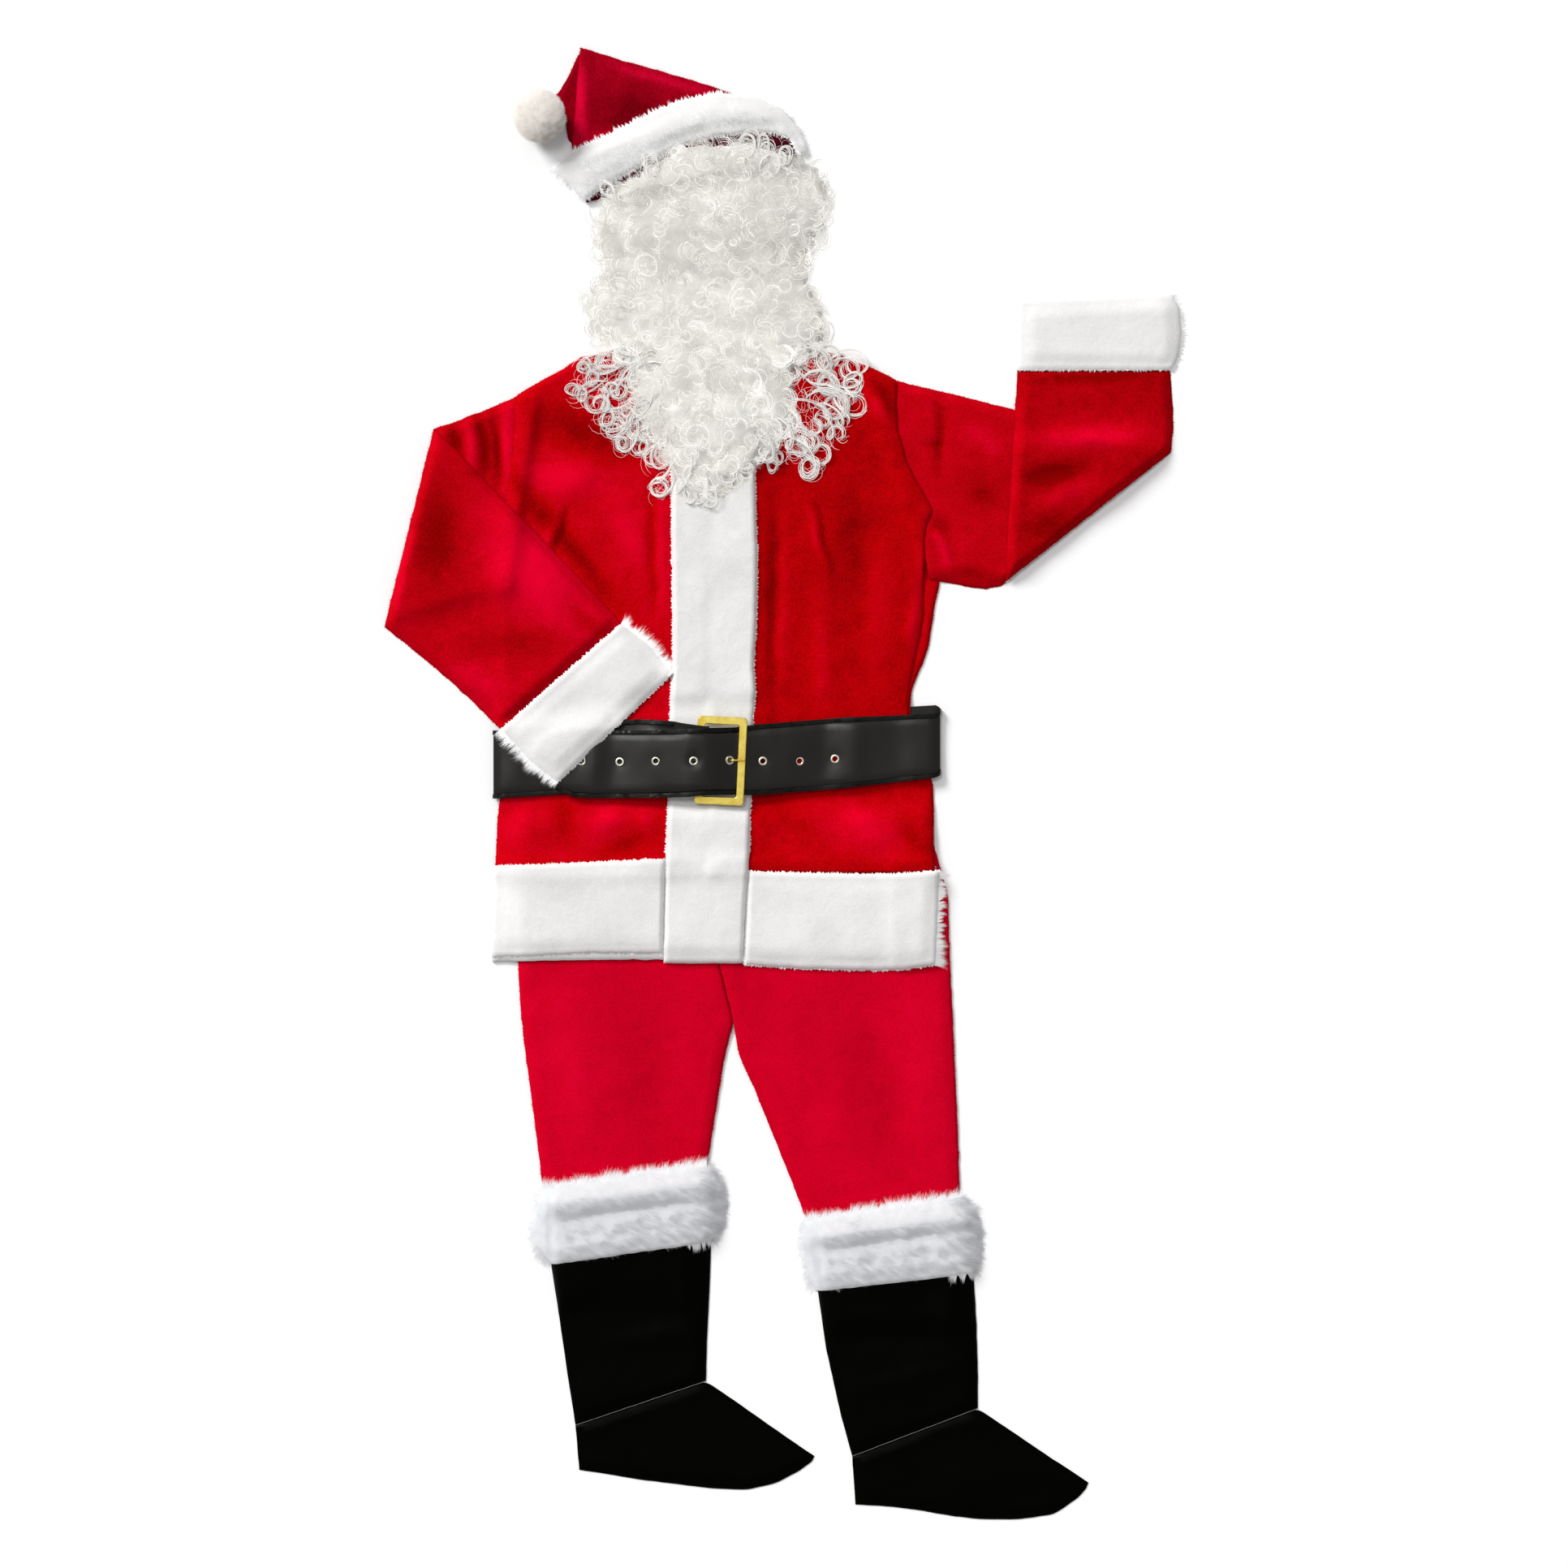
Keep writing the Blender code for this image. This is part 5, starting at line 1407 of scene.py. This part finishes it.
def hair(laid, looks):
    """Wig and beard as one mass of curls, with loose ones over what lies beside them."""
    rng = np.random.default_rng(HAIR_SEED)
    dome = hair_dome(laid, looks.hair)
    dense_curls(dome, looks, rng)
    fringe(
        "hair_wisps", dome, ("left", "right"), looks.wisp, per_mm=7, length=15,
        lean=0.1, inset=11, spread=0.5, clump=9,
    )
    loose_curls(laid, looks, rng)


def pompom(looks):
    """A ball of pile, flattened a little where it lies."""
    rng = np.random.default_rng(POMPOM_SEED)
    bpy.ops.mesh.primitive_ico_sphere_add(subdivisions=5, radius=POMPOM_CORE)
    core = bpy.context.object
    core.name = "pompom_core"
    mesh = core.data
    points = np.array([v.co for v in mesh.vertices])
    lumps = 1 + 0.05 * waves(points[:, 0], points[:, 1] + points[:, 2] * 0.7, 16 * MM, 4)
    points = points * lumps[:, None] + POMPOM
    points[:, 2] = np.maximum(points[:, 2], 0.8 * MM)
    mesh.vertices.foreach_set("co", points.astype(np.float32).ravel())
    mesh.shade_smooth()
    mesh.materials.append(looks.cream.material)
    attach(core, "root")
    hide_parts("hat_pompom")
    tint(core, np.full(len(points), 0.5))
    mesh.normals_split_custom_set_from_vertices(unit(points - POMPOM + 60 * MM * UP))
    facing = unit(rng.normal(0, 1, (POMPOM_HAIRS, 3)))
    roots = facing * (POMPOM_CORE - 1 * MM) + POMPOM
    lock = waves(facing[:, 0], facing[:, 1] + facing[:, 2] * 0.6, 0.35, 8)
    way = unit(facing + rng.normal(0, 0.38, facing.shape) + lock[:, None] * 0.3)
    lengths = rng.uniform(4, 8, POMPOM_HAIRS) * (1 + 0.25 * lock) * MM
    tone = 0.5 + lock * 0.25 + rng.normal(0, 0.12, POMPOM_HAIRS)
    tips = roots + way * lengths[:, None]
    keep = np.minimum(tips[:, 2], roots[:, 2]) > 0.4 * MM
    shading = unit(facing * 0.5 + UP)
    blades(
        "pompom_pile", roots[keep], shading[keep], way[keep], lengths[keep], looks.cream, tone[keep], 0.15
    )


# ---------------------------------------------------------------- the suit, piece by piece


def hat(laid, looks):
    """The folded tip and the crown, with the hidden half of the crown and of its band."""
    # The tip is a little darker all over: painted shade, where it lies folded under the crown's edge
    tip = lay(
        laid, "hat_tip_cloth", HAT_TIP, looks.hat, rolls=Rolls(-1, 0, 3, 3), loft=4, tube=True, tone=-0.12
    )
    band = lay(laid, "hat_band_back_cloth", HAT_BAND_BACK, looks.plush)
    # The inside of the crown's back half, seen below the band, is a much darker velour: painted shade
    back = lay(laid, "hat_crown_back_cloth", HAT_CROWN_BACK, looks.lining, spacing=PLAIN)
    crown = lay(
        laid, "hat_crown_front_cloth", HAT_CROWN_FRONT, looks.hat, CROWN_FOLDS, CROWN_TONES,
        rolls=Rolls(4, 0, -1, 3),
    )
    tip_nap = nap("hat_tip_nap", tip, ("left", "right", "end"), looks)
    declare([tip], layers=2)
    declare([band])
    declare([back])
    crown_nap = nap("hat_nap", crown, ("start", "end", "right"), looks)
    declare([crown])


def hat_band(laid, looks):
    """The plush band round the front of the hat, over the edge of the wig."""
    band = lay(
        laid, "hat_band_front_cloth", HAT_BAND_FRONT, looks.plush, rolls=Rolls(3, 6, 5, 5), loft=6
    )
    hairy = [
        fringe(
            "hat_band_fringe", band, ("end", "left", "right"), looks.fuzz, per_mm=7, length=9, inset=5
        ),
        fringe(
            "hat_band_tufts", band, ("start",), looks.fuzz, per_mm=14, length=13, inset=7, clump=6
        ),
        pile("hat_band_pile", band, looks.fuzz, per_mm2=0.5, length=6, comb=(0.6, -0.8), lean=0.25),
    ]
    declare([band])


def trousers(laid, looks):
    """Both legs, back and front, with their ends on the lower sides of the boot covers."""
    for table in (*BOOT_SHAFT.values(), *BOOT_FUR.values()):
        bottom = Surface(table, PLAIN)
        bottom.shape(np.zeros(bottom.grid.shape[:2]), SHAFT_LOW, 0, CUT, 0)
        laid.add_skin(bottom.over)
    for side in SIDES:
        back = lay(
            laid, f"trouser_back_{side}_cloth", TROUSER[side], looks.legs, TROUSER_FOLDS[side][2:],
            spacing=HIDDEN, loft=0,
        )
        declare([back])
    for side in SIDES:
        front = lay(
            laid, f"trouser_front_{side}_cloth", TROUSER[side], looks.legs, TROUSER_FOLDS[side],
            rolls=Rolls(0, 0, 3, 3), spacing=EVEN, loft=2.5,
        )
        edges = nap(f"trouser_nap_{side}", front, ("left", "right"), looks, length=2.2)
        declare([front])


def boot(laid, looks, side):
    """A boot cover's shaft and foot, two flat tubes of vinyl with a line of thread between them."""
    flat = {"tube": True, "passes": 24, "wobble": 0.15}
    shaft = lay(
        laid, f"boot_{side}_shaft", BOOT_SHAFT[side], looks.boot, BOOT_FOLDS[side], low=SHAFT_LOW,
        rolls=Rolls(-1, 0, 8, 8), nodes=[f"boot_{side}_shaft_under", f"boot_{side}_shaft_over"], **flat,
    )
    foot = lay(
        laid, f"boot_{side}_foot", BOOT_FOOT[side], looks.boot, low=FOOT_LOW, ajar=True, smooth=5,
        rolls=Rolls(8, 3, 8, 7), nodes=[f"boot_{side}_foot_under", f"boot_{side}_foot_over"], **flat,
    )
    line = (shaft.side("end")[0] + 0.5 * MM * UP)[None]
    width = np.full(line.shape[:2], looks.thread.width * MM)
    seam = ribbons(f"boot_{side}_seam", line, width, looks.thread)
    declare([shaft], layers=2)
    declare([foot], layers=2)


def boot_fur(laid, looks, side):
    """The fur round the top of a boot cover, combed to the right, with tufts beyond its borders."""
    fur = lay(
        laid, f"boot_{side}_fur_cloth", drawn_in(BOOT_FUR[side], FUR_INSET), looks.fur, FUR_FOLDS[side],
        FUR_TONES[side], rolls=Rolls(12, 6, 12, 12), tube=True, low=FUR_LOW, passes=24, tone=-0.16,
    )
    hairy = [
        pile(
            f"boot_{side}_pile", fur, looks.fur, per_mm2=2.9, length=15,
            comb=(0.88, -0.36), lean=0.09, spread=0.24, clear=15, lock=0.28,
        ),
        fringe(
            f"boot_{side}_tufts", fur, ("start", "left", "right"), looks.fur, per_mm=24, length=19,
            lean=0.05, inset=7, clump=2.5, spread=0.3, tone=0.5, comb=0.35,
        ),
        fringe(
            f"boot_{side}_hang", fur, ("end",), looks.fur, per_mm=26, length=15,
            inset=10, clump=7, part=(0.84, 0.99), lean=0.05,
        ),
    ]
    declare([fur], layers=2)


def jacket_back(laid, looks):
    """What lies under the jacket's front: the belt, the back of the hem, the back and its facing."""
    for strip in ("strap", "binding_top", "binding_bottom"):
        laid.add_node(f"belt_{strip}", below=BELT_BACK)
    hem = lay(laid, "hem_band_back_cloth", HEM_BAND_BACK, looks.plush, spacing=COARSE, loft=3)
    fuzz = fringe("hem_back_fringe", hem, ("end",), looks.fuzz, per_mm=6, length=9)
    declare([hem])
    back = lay(
        laid, "jacket_back_cloth", JACKET_BACK, looks.red, BACK_FOLDS, spacing=COARSE, loft=0, pressed=True
    )
    edges = nap("jacket_back_nap", back, ("left", "right"), looks)
    declare([back])
    facing = lay(laid, "jacket_facing_cloth", JACKET_FACING, looks.red, loft=0, nodes=())
    declare([facing])


def upper_sleeve(laid, looks, side):
    """The half of a sleeve that lies under its fold."""
    return lay(
        laid, f"arm_{side}", SLEEVE_UNDER[side] + [SLEEVE_FOLD[side]], looks.arms, ARM_FOLDS[side],
        rolls=Rolls(-1, 10, 8, 8), loft=7, spacing=EVEN, parts=True,
    )


def forearm(laid, looks, side, arm):
    """The half of a sleeve that is folded over the other, and the cuff at its end."""
    over = lay(
        laid, f"forearm_{side}", [SLEEVE_FOLD[side]] + SLEEVE_OVER[side], looks.arms, FOREARM_FOLDS[side],
        rolls=Rolls(10, 0, 8, 8), loft=8, spacing=EVEN, parts=True, smooth=6, passes=34,
        tone=FOREARM_TONE[side],
    )
    arm.made = join_parts(f"sleeve_{side}_cloth", [arm, over], looks.arms)
    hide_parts(f"sleeve_{side}")
    edges = [
        nap(f"sleeve_{side}_nap", over, ("left", "right", "start"), looks),
        nap(f"arm_{side}_nap", arm, ("left", "right"), looks),
    ]
    declare([arm, over], layers=2)
    cuff = lay(
        laid, f"cuff_{side}_cloth", CUFF[side], looks.plush,
        rolls=Rolls(4, 5, 7, 7), loft=6, tube=True, passes=40,
    )
    hairy, hair_length = CUFF_FRINGE[side]
    fuzz = [
        fringe(
            f"cuff_{side}_fringe", cuff, hairy, looks.down, per_mm=30, length=hair_length,
            clump=2.2, inset=8, lean=0.08, tone=0.7,
        ),
        fringe(f"cuff_{side}_edge", cuff, ("start", "end"), looks.fuzz, per_mm=6, length=4, lean=0.1),
    ]
    declare([cuff], layers=2)


def jacket_fronts(laid, looks):
    """The red fronts, with a soft roll along the shoulder and the outer side."""
    for side in SIDES:
        outer = {"l": "left", "r": "right"}[side]
        front = lay(
            laid, f"jacket_front_{side}_cloth", JACKET_FRONT[side], looks.red, JACKET_FOLDS[side],
            JACKET_TONES, rolls=CUT._replace(start=3, **{outer: 3}), spacing=EVEN, pressed=True,
            tone=FRONT_TONE[side],
        )
        edges = nap(f"jacket_nap_{side}", front, ("start", outer), looks)
        declare([front])


def placket(laid, looks):
    """The white band down the middle, which hides where the fronts meet."""
    band = lay(
        laid, "placket_cloth", PLACKET, looks.plush,
        pressed=True, rolls=Rolls(-1, 3, -0.3, -0.3), loft=3, beside=True,
    )
    fuzz = fringe(
        "placket_fringe", band, ("left", "right"), looks.fuzz, per_mm=5, length=3.5,
        lean=0.1, part=(0, 0.8),
    )
    declare([band])
    return band


def hem_band(laid, looks, side):
    """A hem band, with hair at its free end and short pile where it is joined to the placket."""
    free, joined, rolls, hair_length = HEM_ENDS[side]
    band = lay(
        laid, f"hem_band_{side}_cloth", HEM_BAND[side], looks.plush, HEM_FOLDS[side],
        rolls=rolls, loft=3, beside=True, passes=24,
    )
    fuzz = [
        fringe(
            f"hem_{side}_fringe", band, (free,), looks.down, per_mm=34, length=hair_length,
            clump=4.2, inset=6, lean=0.05, tone=0.8, spread=0.12,
        ),
        fringe(f"hem_{side}_edge", band, ("left", "right"), looks.fuzz, per_mm=5, length=3.5, lean=0.1),
        fringe(
            f"hem_{side}_join", band, (joined,), looks.fur, per_mm=24, length=7,
            lean=0.08, inset=4, clump=1.5, tone=0.45,
        ),
    ]
    declare([band])
    return band


def jacket_front(laid, looks):
    """Both fronts, then the white bands, which lie level beside each other."""
    jacket_fronts(laid, looks)
    bands = [placket(laid, looks)] + [hem_band(laid, looks, side) for side in SIDES]
    for band in bands:
        laid.add_skin(band.over)


def belt(laid):
    """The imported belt: waved copies of its vinyl strips, and better metal on its buckle and eyelets."""
    strap = Look(vinyl("belt_vinyl_finish", (18, 15, 11), 0.28, 0.36, 0.1, 2.2 * MM, 0.4), "belt_vinyl")
    edging = Look(vinyl("belt_edging", (6, 6, 5), 0.3, 0.45, 0.03, 0.3 * MM, 0.2), "belt_vinyl")
    gold = plated("gold", (226, 190, 72), (255, 238, 130))
    nickel = plated("eyelet_metal", (200, 196, 176), (246, 243, 226))
    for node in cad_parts:
        if node.startswith("belt"):
            laid.add_node(node)
        if node.startswith("belt_eyelet"):
            refinish(node, nickel)
        if node.startswith("belt_buckle"):
            refinish(node, gold)
    bindings = [supple(f"belt_binding_{edge}", edging, BELT_FOLDS, 40) for edge in ("top", "bottom")]
    supple("belt_strap", strap, BELT_FOLDS)


# ---------------------------------------------------------------- light, camera and looks


def shine(name, sun):
    """Light from far away."""
    lamp = bpy.data.lights.new(name, "SUN")
    lamp.energy = sun.energy
    lamp.angle = math.radians(sun.width)
    held = bpy.data.objects.new(name, lamp)
    held.location = sun.place
    held.rotation_euler = Vector(sun.place).to_track_quat("Z", "Y").to_euler()
    bpy.context.scene.collection.objects.link(held)


def stage():
    """A pale table, soft light and a camera that looks straight down."""
    bpy.ops.mesh.primitive_plane_add(size=70, location=(0, 0, -0.3 * MM))
    floor = bpy.context.object
    floor.name = "floor"
    floor.data.materials.append(floor_finish())
    world = bpy.data.worlds.new("studio")
    world.use_nodes = True
    background = world.node_tree.nodes["Background"]
    background.inputs["Color"].default_value = (1, 1, 1, 1)
    background.inputs["Strength"].default_value = WORLD
    for name, sun in SUNS.items():
        shine(name, sun)
    camera = bpy.data.cameras.new("camera")
    camera.lens = LENS
    camera.sensor_width = SENSOR
    camera.clip_end = 50
    held = bpy.data.objects.new("camera", camera)
    held.location = (0, 0, VIEW * LENS / SENSOR + EYE_PLANE)
    scene = bpy.context.scene
    scene.collection.objects.link(held)
    scene.world = world
    scene.camera = held
    scene.view_settings.view_transform = "Standard"


def red(name, dark, middle, bright, loft=3, uneven=0.9):
    """Velour of a shade of red."""
    return Look(velour(name, dark, middle, bright), "red_velour", 0, VELOUR, loft, uneven)


def pick_looks():
    """Every kind of cloth, pile, hair and thread, with its material."""
    white_hair = (252, 252, 252)
    plush_made = plush("plush", (231, 230, 229), (212, 211, 211))
    boot_made = vinyl("boot_vinyl_finish", (2, 2, 1), 0.34, 0.46, 0.09, 2.4 * MM, 0.022)
    fur_made = hairs("fur_fibre", (239, 238, 240), (194, 196, 199), 0.012)
    return Looks(
        red=red("velour", (120, 0, 0), (183, 0, 6), (220, 0, 36)),
        legs=red("leg_velour", (168, 0, 22), (200, 0, 33), (222, 2, 48), uneven=0.6),
        arms=red("arm_velour", (128, 0, 0), (184, 0, 14), (224, 0, 42)),
        hat=red("hat_velour", (92, 0, 8), (152, 0, 22), (205, 4, 50)),
        # Painted shade: a darker copy of the velour for the inside of the hat
        lining=red("lining", (40, 2, 8), (70, 10, 20), (104, 26, 38), loft=1, uneven=0.5),
        plush=Look(plush_made, "white_plush", 0, PLUSH, 4, 0.5),
        nap=Look(red_fibre(), "red_velour", 0.7),
        fuzz=Look(hairs("plush_fibre", white_hair, (240, 240, 241)), "white_plush", 0.8),
        down=Look(hairs("down_fibre", white_hair, (236, 236, 237)), "white_plush", 0.5),
        cream=Look(hairs("cream_fibre", (236, 231, 225), (208, 202, 195)), "white_plush", 0.8),
        fur=Look(fur_made, "white_fur", 0.5, PLUSH, 7, 0.8),
        hair=Look(curl_fibre(), "white_curls", 0.6),
        strand=Look(curl_fibre(), "white_curls", 0.95),
        wisp=Look(hairs("wisp_fibre", (250, 248, 246), (226, 223, 219)), "white_curls", 0.32),
        boot=Look(boot_made, "boot_vinyl", 0, VINYL, 4, 0.5),
        thread=Look(thread(), "boot_vinyl", 0.7),
    )


def main():
    """Lay the suit out, from what lies lowest to what lies on top."""
    stage()
    looks = pick_looks()
    laid = Heights()
    hat(laid, looks)
    pompom(looks)
    trousers(laid, looks)
    for side in SIDES:
        boot(laid, looks, side)
        boot_fur(laid, looks, side)
    jacket_back(laid, looks)
    arms = {side: upper_sleeve(laid, looks, side) for side in ("r", "l")}
    forearm(laid, looks, "r", arms["r"])
    jacket_front(laid, looks)
    belt(laid)
    forearm(laid, looks, "l", arms["l"])
    hat_band(laid, looks)
    hair(laid, looks)


main()
